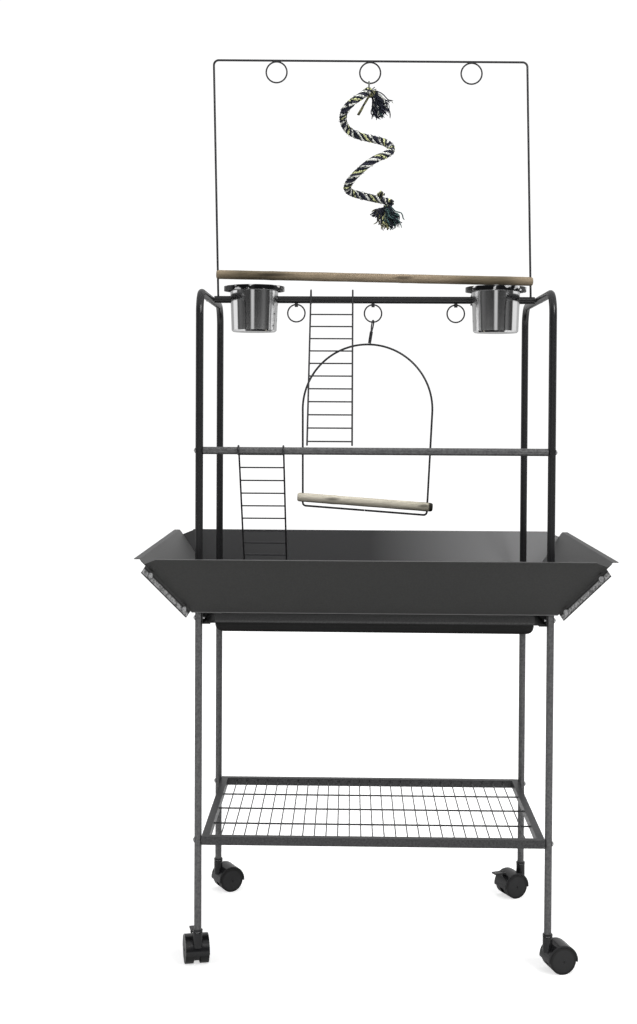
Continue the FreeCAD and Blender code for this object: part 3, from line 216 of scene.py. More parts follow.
BLACK, YELLOW, WHITE, NAVY, TEAL, TAN = range(6)
yarns = [
    yarn("yarn_black", (0.03, 0.035, 0.05), (0.006, 0.007, 0.01), 0.3),
    yarn("yarn_yellow", (0.95, 0.98, 0.55), (0.5, 0.53, 0.24), 0.45),
    yarn("yarn_white", (1.0, 1.0, 0.95), (0.62, 0.64, 0.58), 0.42),
    yarn("yarn_navy", (0.07, 0.07, 0.10), (0.014, 0.015, 0.024), 0.36),
    yarn("yarn_teal", (0.12, 0.21, 0.20), (0.03, 0.06, 0.06), 0.42),
    yarn("yarn_tan", (0.34, 0.33, 0.18), (0.12, 0.12, 0.06), 0.4),
]
STRANDS = (BLACK, WHITE, NAVY, YELLOW, BLACK, WHITE, NAVY)
rope = bmesh.new()
travelled, across = runs_along(centre), frames_along(centre)
rng = np.random.default_rng(5)
add_tube(rope, centre, [CORE_RADIUS] * len(centre), STRAND_SIDES, BLACK)
for strand, colour in enumerate(STRANDS):
    path = []
    for point, (side, up), run in zip(centre, across, travelled):
        angle = 2 * math.pi * (run / LAY + strand / len(STRANDS))
        offset = STRAND_OFFSET + UNEVENNESS * noise.noise(Vector((run * 90, strand * 7, 0)))
        path.append(point + (side * math.cos(angle) + up * math.sin(angle)) * offset)
    add_tube(rope, path, [STRAND_RADIUS] * len(path), STRAND_SIDES, colour)

# Loose fibres stand off the whole length of the rope, most of them black. They start just inside
# the strands' outer side and lean along the rope.
FIBRES, FIBRE_START, FIBRE_SIDES = 420, 0.0062, 4
FIBRE_RADII, FIBRE_MIX = (0.0004, 0.0004, 0.0002), (BLACK, BLACK, BLACK, YELLOW, NAVY)
for number in range(FIBRES):
    k = int(rng.integers(2, len(centre) - 2))
    angle = rng.uniform(0, 2 * math.pi)
    out = across[k][0] * math.cos(angle) + across[k][1] * math.sin(angle)
    ahead = (centre[k + 1] - centre[k]).normalized() * rng.uniform(-1, 1)
    start = centre[k] + out * FIBRE_START
    reach = rng.uniform(0.001, 0.0036)
    path = [start, start + (out + ahead) * reach * 0.5, start + (out * 0.8 + ahead * 2) * reach]
    add_tube(rope, path, FIBRE_RADII, FIBRE_SIDES, int(rng.choice(FIBRE_MIX)))
rope_toy = mesh_object("rope_toy", rope, yarns, "rope_toy")
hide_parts("toy_rope")


def curled(start, direction, reach, curl, points=10):
    """A wavy yarn from start along direction, curling more towards its end."""
    side = direction.orthogonal().normalized()
    up = direction.cross(side)
    phase, rate = rng.uniform(0, 2 * math.pi), rng.uniform(2.5, 5.5)
    path = []
    for step in range(points):
        t = step / (points - 1)
        bend = side * math.sin(phase + rate * t * 2) + up * math.cos(phase + rate * t * 1.7)
        path.append(start + direction * reach * t + bend * curl * t)
    return path


def tapered(width):
    """The radii of a ten-point yarn with a thin tip."""
    return [width] * 9 + [width * 0.5]


# Frayed top: a dense, frizzy bunch of yarns that hang to the right, a few short ones that stand
# up, and a tan cord that binds them and strays down to the left.
TOP_ROOT, SPREAD, YARN_SIDES = Vector((-0.008, 0.004, 1.564)), 0.16, 5
HANGING_YARNS, STANDING_YARNS = 190, 26
HANGING_MIX = (BLACK,) * 4 + (NAVY,) * 3 + (TEAL, WHITE)
bunch = bmesh.new()
for number in range(HANGING_YARNS):
    away = Vector((*rng.normal(0, 1, 2), rng.normal(0, 0.6)))
    lean = Vector((rng.uniform(0.12, 0.90), 0.1, -1)).normalized()
    direction = (lean + away * SPREAD).normalized()
    start = TOP_ROOT + Vector((abs(away.x) * 0.006, away.y * 0.004, away.z * 0.003))
    reach = rng.uniform(0.024, 0.040) if lean.x > 0.5 else rng.uniform(0.030, 0.049)
    path = curled(start, direction, reach, curl=0.0035)
    width = rng.uniform(0.0007, 0.0014)
    add_tube(bunch, path, tapered(width), YARN_SIDES, int(rng.choice(HANGING_MIX)))
for number in range(STANDING_YARNS):
    upward = Vector((rng.uniform(-1, 0.9), rng.uniform(-1, 1), rng.uniform(0.1, 1)))
    reach = rng.uniform(0.008, 0.016)
    path = curled(TOP_ROOT, upward.normalized(), reach, curl=0.003, points=6)
    colour = int(rng.choice((BLACK, NAVY, TAN, TAN)))
    add_tube(bunch, path, [0.0009] * len(path), YARN_SIDES, colour)
WRAP_TURNS, WRAP_STEPS, WRAP_FALL, WRAP_SIDES = 5, 80, 0.011, 6
wrap = []
for step in range(WRAP_STEPS):
    angle = step / WRAP_STEPS * WRAP_TURNS * 2 * math.pi
    height = 0.004 - WRAP_FALL * step / WRAP_STEPS
    around = Vector((0.0075 * math.cos(angle) + 0.002, 0.0085 * math.sin(angle), height))
    wrap.append(TOP_ROOT + around)
add_tube(bunch, wrap, [0.0012] * len(wrap), WRAP_SIDES, TAN)
for number, colour in enumerate((TAN, TAN, BLACK, TAN, TAN)):
    stray = []
    for step in range(9):
        t = step / 8
        bow = 0.0016 * math.sin(5 * t + number)
        down = Vector((-0.003 - 0.021 * t + bow, -0.006 + number * 0.001, -0.004 - 0.037 * t))
        stray.append(TOP_ROOT + down)
    add_tube(bunch, stray, [0.0011] * len(stray), YARN_SIDES, colour)
top_fray = mesh_object("top_fray", bunch, yarns, "rope_toy")
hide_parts("rope_top_tassel")

# Frayed end: teal and dark yarns hang down to the right, dark ones curl to the left, and a
# short tuft stands on the rope just before them.
END_ROOT = Vector((0.024, 0.010, 1.357))
END_YARNS, LEFT_CURLS, TUFT_YARNS = 150, 34, 44
RIGHT_MIX, LEFT_MIX = (TEAL, TEAL, BLACK, BLACK, NAVY), (TAN, TAN, BLACK, YELLOW, BLACK)
bunch = bmesh.new()
for number in range(END_YARNS):
    away = Vector(rng.normal(0, 1, 3)) * SPREAD
    direction = (Vector((rng.uniform(-0.15, 0.60), -0.05, -1)).normalized() + away).normalized()
    start = END_ROOT + Vector((rng.uniform(-0.007, 0.004), rng.uniform(-0.005, 0.005), 0))
    path = curled(start, direction, rng.uniform(0.03, 0.047), curl=0.003)
    width = rng.uniform(0.0007, 0.0013)
    colour = int(rng.choice(RIGHT_MIX if direction.x > 0.1 else LEFT_MIX))
    add_tube(bunch, path, tapered(width), YARN_SIDES, colour)
for number in range(LEFT_CURLS):
    hang = rng.uniform(0.2, 1.6)
    direction = Vector((-1, rng.uniform(-0.2, 0.2), -hang)).normalized()
    start = END_ROOT + Vector((-0.004, 0, -0.004))
    path = curled(start, direction, rng.uniform(0.02, 0.031), curl=0.004)
    colour = int(rng.choice((BLACK, BLACK, NAVY, TAN)))
    add_tube(bunch, path, [0.0011] * len(path), YARN_SIDES, colour)
tuft = centre[-1] + Vector((-0.019, -0.003, 0.014))
for number in range(TUFT_YARNS):
    direction = Vector(rng.normal(0, 1, 3)).normalized()
    direction = (direction + Vector((0, 0, 0.7))).normalized()
    path = curled(tuft, direction, rng.uniform(0.004, 0.009), curl=0.002, points=6)
    colour = int(rng.choice((BLACK, TAN, TAN, YELLOW)))
    add_tube(bunch, path, [0.001] * len(path), YARN_SIDES, colour)
end_fray = mesh_object("end_fray", bunch, yarns, "rope_toy")
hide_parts("rope_end_tassel")


def set_stops(ramp, stops):
    """Gives a colour ramp its stops, pairs of a place from 0 to 1 and a colour."""
    while len(ramp.elements) < len(stops):
        ramp.elements.new(0.5)
    for element, (place, colour) in zip(ramp.elements, stops):
        element.position = place
    for element, (place, colour) in zip(ramp.elements, stops):
        element.color = (*colour, 1)


# Light: a white studio. Diffuse light comes from an even room and soft panels, and reflections
# see a darker room with bright upright panels, which gives the cups their streaks. BANDS gives
# the room's brightness by the direction in degrees, with 180 in front of the stand.
BANDS = [
    (0, 0.60), (56, 0.40), (64, 1.0), (90, 1.0), (95, 0.05), (110, 0.14), (130, 0.05),
    (165, 0.03), (171, 0.7), (180, 0.7), (186, 0.03), (215, 0.05), (232, 0.15), (246, 0.06),
    (262, 0.04), (268, 0.95), (296, 0.95), (306, 0.55), (360, 0.62),
]
world = bpy.data.worlds.new("studio")
world.use_nodes = True
scene.world = world
tree = world.node_tree
tree.nodes.clear()
output = tree.nodes.new("ShaderNodeOutputWorld")
path_info = tree.nodes.new("ShaderNodeLightPath")
where = tree.nodes.new("ShaderNodeTexCoord")
split = tree.nodes.new("ShaderNodeSeparateXYZ")
tree.links.new(where.outputs["Generated"], split.inputs["Vector"])
direction = tree.nodes.new("ShaderNodeMath")
direction.operation = "ARCTAN2"
flip = tree.nodes.new("ShaderNodeMath")
flip.operation = "MULTIPLY"
flip.inputs[1].default_value = -1
tree.links.new(split.outputs["Y"], flip.inputs[0])
tree.links.new(split.outputs["X"], direction.inputs[0])
tree.links.new(flip.outputs[0], direction.inputs[1])
share = tree.nodes.new("ShaderNodeMapRange")
share.inputs["From Min"].default_value = -math.pi
share.inputs["From Max"].default_value = math.pi
tree.links.new(direction.outputs[0], share.inputs["Value"])
bands = tree.nodes.new("ShaderNodeValToRGB")
set_stops(bands.color_ramp, [(angle / 360, (level, level, level)) for angle, level in BANDS])
tree.links.new(share.outputs["Result"], bands.inputs["Fac"])
overhead = tree.nodes.new("ShaderNodeMapRange")
overhead.inputs["From Min"].default_value = 0.35
overhead.inputs["From Max"].default_value = 0.75
tree.links.new(split.outputs["Z"], overhead.inputs["Value"])
reflected = tree.nodes.new("ShaderNodeMixRGB")
reflected.inputs["Color2"].default_value = (0.7, 0.7, 0.7, 1)
tree.links.new(overhead.outputs["Result"], reflected.inputs["Fac"])
tree.links.new(bands.outputs["Color"], reflected.inputs["Color1"])
room = tree.nodes.new("ShaderNodeBackground")
room.inputs["Color"].default_value = (1, 1, 1, 1)
room.inputs["Strength"].default_value = 0.42
seen = tree.nodes.new("ShaderNodeBackground")
seen.inputs["Color"].default_value = (1, 1, 1, 1)
seen.inputs["Strength"].default_value = 1.05
mirror = tree.nodes.new("ShaderNodeBackground")
mirror.inputs["Strength"].default_value = 0.9
tree.links.new(reflected.outputs["Color"], mirror.inputs["Color"])
first = tree.nodes.new("ShaderNodeMixShader")
tree.links.new(path_info.outputs["Is Glossy Ray"], first.inputs["Fac"])
tree.links.new(room.outputs[0], first.inputs[1])
tree.links.new(mirror.outputs[0], first.inputs[2])
second = tree.nodes.new("ShaderNodeMixShader")
tree.links.new(path_info.outputs["Is Camera Ray"], second.inputs["Fac"])
tree.links.new(first.outputs[0], second.inputs[1])
tree.links.new(seen.outputs[0], second.inputs[2])
tree.links.new(second.outputs[0], output.inputs["Surface"])
for name, place, aim, width, power in (
    ("key", (1.9, -2.6, 2.7), (0, 0, 0.8), 1.4, 55),
    ("fill", (-2.4, -2.4, 1.6), (0, 0, 0.8), 1.6, 26),
    ("top", (0.1, 0.2, 3.4), (0, 0, 0.6), 1.6, 48),
):
    lamp = bpy.data.lights.new(name, "AREA")
    lamp.size = width
    lamp.energy = power
    panel = bpy.data.objects.new(name, lamp)
    panel.location = place
    aim_at = Vector(aim) - Vector(place)
    panel.rotation_euler = aim_at.to_track_quat("-Z", "Y").to_euler()
    panel.visible_glossy = name == "key"
    scene.collection.objects.link(panel)

# Floor: a large white sheet that only keeps the soft shadows by the wheels. It glows for the
# camera, more with the distance from the stand, and so merges with the background.
ground = bmesh.new()
bmesh.ops.create_grid(ground, x_segments=1, y_segments=1, size=30)
data = bpy.data.meshes.new("floor")
ground.to_mesh(data)
ground.free()
floor = bpy.data.objects.new("floor", data)
scene.collection.objects.link(floor)
floor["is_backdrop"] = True
paper = bpy.data.materials.new("paper")
paper.use_nodes = True
tree = paper.node_tree
shader = tree.nodes["Principled BSDF"]
shader.inputs["Base Color"].default_value = (0.85, 0.85, 0.85, 1)
shader.inputs["Roughness"].default_value = 0.9
shader.inputs["Specular IOR Level"].default_value = 0.1
glow = tree.nodes.new("ShaderNodeEmission")
path_info = tree.nodes.new("ShaderNodeLightPath")
where = tree.nodes.new("ShaderNodeTexCoord")
distance = tree.nodes.new("ShaderNodeVectorMath")
distance.operation = "LENGTH"
tree.links.new(where.outputs["Object"], distance.inputs[0])
strength = tree.nodes.new("ShaderNodeMapRange")
strength.inputs["From Min"].default_value = 0.7
strength.inputs["From Max"].default_value = 2.6
strength.inputs["To Min"].default_value = 0.62
strength.inputs["To Max"].default_value = 0.76
tree.links.new(distance.outputs["Value"], strength.inputs["Value"])
for_camera = tree.nodes.new("ShaderNodeMath")
for_camera.operation = "MULTIPLY"
tree.links.new(path_info.outputs["Is Camera Ray"], for_camera.inputs[0])
tree.links.new(strength.outputs["Result"], for_camera.inputs[1])
tree.links.new(for_camera.outputs[0], glow.inputs["Strength"])
both = tree.nodes.new("ShaderNodeAddShader")
tree.links.new(shader.outputs[0], both.inputs[0])
tree.links.new(glow.outputs[0], both.inputs[1])
tree.links.new(both.outputs[0], tree.nodes["Material Output"].inputs["Surface"])
data.materials.append(paper)


def coated(name, light, dark, grain, roughness, metallic, bump_height):
    """Paint, plastic or metal with fine speckle: two tones and a bump of one grain size."""
    item = bpy.data.materials.new(name)
    item.use_nodes = True
    tree = item.node_tree
    shader = tree.nodes["Principled BSDF"]
    shader.inputs["Roughness"].default_value = roughness
    shader.inputs["Metallic"].default_value = metallic
    where = tree.nodes.new("ShaderNodeTexCoord")
    speckle = tree.nodes.new("ShaderNodeTexNoise")
    speckle.inputs["Scale"].default_value = grain
    speckle.inputs["Detail"].default_value = 3
    ramp = tree.nodes.new("ShaderNodeValToRGB")
    ramp.color_ramp.elements[0].position = 0.35
    ramp.color_ramp.elements[0].color = (*dark, 1)
    ramp.color_ramp.elements[1].position = 0.65
    ramp.color_ramp.elements[1].color = (*light, 1)
    bump = tree.nodes.new("ShaderNodeBump")
    bump.inputs["Strength"].default_value = 0.5
    bump.inputs["Distance"].default_value = bump_height
    tree.links.new(where.outputs["Object"], speckle.inputs["Vector"])
    tree.links.new(speckle.outputs["Fac"], ramp.inputs["Fac"])
    tree.links.new(ramp.outputs["Color"], shader.inputs["Base Color"])
    tree.links.new(speckle.outputs["Fac"], bump.inputs["Height"])
    tree.links.new(bump.outputs["Normal"], shader.inputs["Normal"])
    return item


def paint(item, *node_names):
    """Gives a material to CAD nodes."""
    for name in node_names:
        node = frame["nodes"][name]
        node.data.materials.clear()
        node.data.materials.append(item)


# Frame, wires, cups, bolts and casters keep their CAD shapes. Every slot of the record gets its
# coat here: gloss black, grey hammertone, polished or plated steel, nylon and cotton.
for slot_name, item in (
    ("frame_black", coated("black_coat", (0.020, 0.020, 0.021), (0.010, 0.010, 0.011),
                           grain=900, roughness=0.26, metallic=0, bump_height=0.00008)),
    ("frame_grey", coated("grey_hammer", (0.135, 0.135, 0.136), (0.080, 0.080, 0.082),
                          grain=260, roughness=0.32, metallic=0.25, bump_height=0.00012)),
    ("shelf_paint", coated("shelf_coat", (0.060, 0.060, 0.062), (0.028, 0.028, 0.030),
                           grain=300, roughness=0.36, metallic=0.15, bump_height=0.0002)),
    ("dark_wire", coated("wire_coat", (0.030, 0.030, 0.032), (0.016, 0.016, 0.018),
                         grain=900, roughness=0.3, metallic=0, bump_height=0.00008)),
    ("cup_steel", coated("cup_polish", (0.86, 0.86, 0.86), (0.80, 0.80, 0.81),
                         grain=900, roughness=0.10, metallic=1, bump_height=0.00001)),
    ("bolt_steel", coated("zinc", (0.80, 0.80, 0.80), (0.35, 0.35, 0.36),
                          grain=500, roughness=0.3, metallic=1, bump_height=0.0001)),
    ("caster_plastic", coated("nylon", (0.014, 0.014, 0.015), (0.008, 0.008, 0.009),
                              grain=800, roughness=0.2, metallic=0, bump_height=0.00005)),
    ("stem_steel", coated("plated", (0.80, 0.80, 0.81), (0.70, 0.70, 0.72),
                          grain=900, roughness=0.12, metallic=1, bump_height=0.00002)),
    ("rope_cotton", coated("tie_cord", (0.25, 0.27, 0.25), (0.10, 0.11, 0.1),
                           grain=2500, roughness=0.9, metallic=0, bump_height=0.0004)),
):
    for entry in frame["record"]["subparts"]:
        if entry["material_slot"] == slot_name:
            paint(item, entry["node"])

# Tray runners: black channels, darker than the legs that carry them. They share the frame's slot,
# so they are painted by name.
runner_coat = coated("runner_paint", (0.016, 0.016, 0.016), (0.008, 0.008, 0.008),
                     grain=400, roughness=0.5, metallic=0, bump_height=0.0001)
paint(runner_coat, "tray_runner_left", "tray_runner_right")

# Cup holders: glossy black with small painted highlights, bright spots that stand for reflections
# on the rim. The highlights are the speckle's highest parts.
holder_coat = coated("holder_gloss", (0.95, 0.95, 0.95), (0.010, 0.010, 0.011),
                     grain=70, roughness=0.16, metallic=0.5, bump_height=0.0001)
# Painted highlights: near-white spots where the speckle is highest.
painted_glints = holder_coat.node_tree.nodes["Color Ramp"].color_ramp
painted_glints.elements[0].position = 0.56
painted_glints.elements[1].position = 0.62
paint(holder_coat, "cup_holder_left", "cup_holder_right")


# Skirt: dark hammertone sheet. The outer faces are darkest, the inner ones are painted lighter as
# lit, the corner flanges are painted pale as lit between edges of painted shade, and the lower
# edge has a painted highlight line.
FOOT_X, FOOT_Y, FOOT_Z = 0.316, 0.211, 0.623
COS_LEAN, SIN_LEAN = 0.7809, 0.6247


def skirt_paint(name, inner_left, inner_right):
    """Skirt paint with painted light: inner faces lighter than the outer ones, going from one
    level at the middle to another at the right.
    """
    item = coated(name, (0.027, 0.027, 0.026), (0.021, 0.021, 0.020),
                  grain=350, roughness=0.46, metallic=0.1, bump_height=0.00006)
    tree = item.node_tree
    shader = tree.nodes["Principled BSDF"]
    outer = tree.nodes["Color Ramp"].outputs["Color"]
    where = tree.nodes["Texture Coordinate"].outputs["Object"]

    def value(operation, *inputs):
        """The result of a maths node whose inputs are numbers or sockets."""
        node = tree.nodes.new("ShaderNodeMath")
        node.operation = operation
        for socket, given in zip(node.inputs, inputs):
            if isinstance(given, (int, float)):
                socket.default_value = given
            else:
                tree.links.new(given, socket)
        return node.outputs[0]

    def blended(share, low_colour, high_colour):
        """A colour between two, each a tuple or a socket."""
        node = tree.nodes.new("ShaderNodeMixRGB")
        tree.links.new(share, node.inputs["Fac"])
        for socket, given in zip((node.inputs["Color1"], node.inputs["Color2"]),
                                 (low_colour, high_colour)):
            if isinstance(given, tuple):
                socket.default_value = (*given, 1)
            else:
                tree.links.new(given, socket)
        return node.outputs["Color"]

    def step(given, low, high):
        """A ramp from 0 at low to 1 at high."""
        node = tree.nodes.new("ShaderNodeMapRange")
        node.inputs["From Min"].default_value = low
        node.inputs["From Max"].default_value = high
        tree.links.new(given, node.inputs["Value"])
        return node.outputs["Result"]

    def past_panel(sideways, foot, rise):
        """How far a point lies outside a leaning panel, measured square to the panel."""
        out = value("SUBTRACT", value("ABSOLUTE", sideways), foot)
        return value("SUBTRACT", value("MULTIPLY", out, COS_LEAN), rise)

    split = tree.nodes.new("ShaderNodeSeparateXYZ")
    tree.links.new(where, split.inputs["Vector"])
    x, y, z = split.outputs
    geometry = tree.nodes.new("ShaderNodeNewGeometry")
    normal = tree.nodes.new("ShaderNodeSeparateXYZ")
    tree.links.new(geometry.outputs["Normal"], normal.inputs["Vector"])
    # Painted light: faces that look up are painted lighter than the outer ones, with a level that
    # runs along X.
    inside = step(normal.outputs["Z"], -0.1, 0.3)
    inner = blended(step(x, 0.0, 0.29), inner_left, inner_right)
    rise = value("MULTIPLY", value("SUBTRACT", z, FOOT_Z), SIN_LEAN)
    past = value("MINIMUM", past_panel(x, FOOT_X, rise), past_panel(y, FOOT_Y, rise))
    # Painted light and shade: the corner flange strip is painted pale, as lit, between edges
    # painted near black as shade in the gaps.
    pale = tree.nodes.new("ShaderNodeTexNoise")
    pale.inputs["Scale"].default_value = 260
    tree.links.new(where, pale.inputs["Vector"])
    speckled = step(pale.outputs["Fac"], 0.4, 0.6)
    hammered = blended(speckled, (0.13, 0.13, 0.13), (0.42, 0.42, 0.42))
    strip = value("MULTIPLY", step(past, 0.0030, 0.0046), step(past, 0.0106, 0.0092))
    flange = blended(strip, (0.010, 0.010, 0.010), hammered)
    # Painted highlight: a light line along the panels' lower edge, just above the foot.
    edge_highlight = value("MULTIPLY", step(z, 0.6252, 0.6243), step(z, 0.6215, 0.6224))
    body = blended(inside, outer, inner)
    body = blended(edge_highlight, body, (0.13, 0.13, 0.13))
    body = blended(step(past, 0.0014, 0.0018), body, flange)
    tree.links.new(body, shader.inputs["Base Color"])
    return item


# Painted light on the inner faces: on the front and sides it fades a little towards the right
# end, and on the rear it brightens strongly to the right, a painted reflection of a bright panel.
side_coat = skirt_paint("side_panels", (0.085, 0.085, 0.085), (0.060, 0.060, 0.060))
paint(side_coat, "skirt_panel_front", "skirt_panel_left", "skirt_panel_right")
rear_coat = skirt_paint("rear_panel", (0.022, 0.022, 0.023), (0.17, 0.17, 0.172))
paint(rear_coat, "skirt_panel_rear")

# Tray: one pressed black sheet with rounded corners and side lips that rest on the runners. Its
# front apron folds in to the body, whose lower edge bows up a little in the middle. OUTER and
# INNER list loops as (inset across, inset along, height), and APRON its section as (y, z).
LEFT_WALL, RIGHT_WALL, FRONT, BACK = -0.276, 0.276, -0.2095, 0.1795
RIM, FLOOR = 0.6066, 0.5896
BOWED_BELOW, BOW, SLANT = 0.598, 0.0016, 0.0005
OUTER_CORNER, INNER_CORNER, CORNER_POINTS = 0.004, 0.003, 7
LIP_OUTSIDE, LIP_INSIDE, LIP_FRONT, LIP_BACK, LIP_UNDER = 0.2950, 0.2758, -0.2100, 0.1800, 0.6054
OUTER = (
    (0, 0, RIM), (0.0004, 0.0016, 0.6010), (0.0012, 0.0028, 0.5975),
    (0.0028, 0.0038, 0.5945), (0.0048, 0.0044, 0.5922), (0.0076, 0.0052, 0.5906),
    (0.0110, 0.0066, FLOOR),
)
INNER = ((0.0116, 0.0072, FLOOR + 0.0012), (0.0044, 0.0046, 0.5952), (0.0013, 0.0013, RIM))
APRON = [
    (-0.2112, 0.6214), (-0.2112, 0.6100), (-0.2108, 0.6090), (-0.2096, 0.6080),
    (-0.2088, 0.6060), (-0.2078, 0.6064), (-0.2084, 0.6086), (-0.2096, 0.6096),
    (-0.2100, 0.6104), (-0.2100, 0.6214),
]
tray = bmesh.new()


def rounded_loop(inset_x, inset_y, radius, z):
    """A loop of vertices round the tray, with rounded corners, inset from its rim."""
    loop = []
    for corner_x, corner_y, first in (
        (RIGHT_WALL, BACK, 0), (LEFT_WALL, BACK, 90),
        (LEFT_WALL, FRONT, 180), (RIGHT_WALL, FRONT, 270),
    ):
        to_x = -1 if corner_x > 0 else 1
        to_y = -1 if corner_y > 0 else 1
        for k in range(CORNER_POINTS):
            angle = math.radians(first + k * 90 / (CORNER_POINTS - 1))
            px = corner_x + to_x * (inset_x + radius) + radius * math.cos(angle)
            py = corner_y + to_y * (inset_y + radius) + radius * math.sin(angle)
            bow = BOW * (1 - (px / RIGHT_WALL) ** 2) - SLANT * px / RIGHT_WALL
            bowed = z < BOWED_BELOW and py < 0
            loop.append(tray.verts.new((px, py, z + (bow if bowed else 0))))
    return loop


def skin(loops):
    """Closes the strips between neighbouring loops."""
    for lower, upper in zip(loops, loops[1:]):
        for k in range(len(lower)):
            n = (k + 1) % len(lower)
            tray.faces.new((lower[k], lower[n], upper[n], upper[k])).smooth = True


outer = [rounded_loop(inset_x, inset_y, OUTER_CORNER, z) for inset_x, inset_y, z in OUTER]
inner = [rounded_loop(inset_x, inset_y, INNER_CORNER, z) for inset_x, inset_y, z in INNER]
skin(outer[::-1])
skin(inner[::-1])
tray.faces.new(outer[-1][::-1])
tray.faces.new(inner[0])
for k in range(len(outer[0])):
    n = (k + 1) % len(outer[0])
    tray.faces.new((outer[0][k], outer[0][n], inner[-1][n], inner[-1][k]))
bmesh.ops.recalc_face_normals(tray, faces=tray.faces[:])
for left, right in ((-LIP_OUTSIDE, -LIP_INSIDE), (LIP_INSIDE, LIP_OUTSIDE)):
    for vert in bmesh.ops.create_cube(tray, size=1)["verts"]:
        vert.co = Vector((left if vert.co.x < 0 else right,
                          LIP_FRONT if vert.co.y < 0 else LIP_BACK,
                          LIP_UNDER if vert.co.z < 0 else RIM))
ends = [[tray.verts.new((x, y, z)) for y, z in APRON] for x in (LEFT_WALL, RIGHT_WALL)]
for k in range(len(APRON)):
    n = (k + 1) % len(APRON)
    tray.faces.new((ends[0][k], ends[0][n], ends[1][n], ends[1][k]))
tray.faces.new(ends[0][::-1])
tray.faces.new(ends[1])
bmesh.ops.recalc_face_normals(tray, faces=tray.faces[:])

# Tray paint: the levels below multiply the black by height, from the tray's floor to the apron's
# top. They paint shade on the body, which faces down, a highlight on the fold, and leave the
# apron a little lighter below.
SHADE_AND_HIGHLIGHT_LEVELS = [
    (0.0, 0.05), (0.12, 0.05), (0.2, 0.25), (0.5, 0.3),
    (0.56, 2.6), (0.6, 2.6), (0.66, 1.3), (1.0, 0.8),
]
tray_coat = coated("tray_paint", (0.030, 0.030, 0.030), (0.022, 0.022, 0.022),
                   grain=350, roughness=0.6, metallic=0, bump_height=0.00006)
tree = tray_coat.node_tree
shader = tree.nodes["Principled BSDF"]
shader.inputs["Specular IOR Level"].default_value = 0.2
split = tree.nodes.new("ShaderNodeSeparateXYZ")
tree.links.new(tree.nodes["Texture Coordinate"].outputs["Object"], split.inputs["Vector"])
share = tree.nodes.new("ShaderNodeMapRange")
share.inputs["From Min"].default_value = 0.588
share.inputs["From Max"].default_value = 0.623
tree.links.new(split.outputs["Z"], share.inputs["Value"])
# Painted shade and highlight by height: dark body, bright fold.
shade_and_highlight = tree.nodes.new("ShaderNodeValToRGB")
set_stops(shade_and_highlight.color_ramp, [(place, (level, level, level)) for place, level in SHADE_AND_HIGHLIGHT_LEVELS])
tree.links.new(share.outputs["Result"], shade_and_highlight.inputs["Fac"])
toned = tree.nodes.new("ShaderNodeMixRGB")
toned.blend_type = "MULTIPLY"
toned.inputs["Fac"].default_value = 1
tree.links.new(tree.nodes["Color Ramp"].outputs["Color"], toned.inputs["Color1"])
tree.links.new(shade_and_highlight.outputs["Color"], toned.inputs["Color2"])
tree.links.new(toned.outputs["Color"], shader.inputs["Base Color"])
tray_piece = mesh_object("tray_pressed", tray, [tray_coat], "tray")
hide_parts("slide_out_tray")
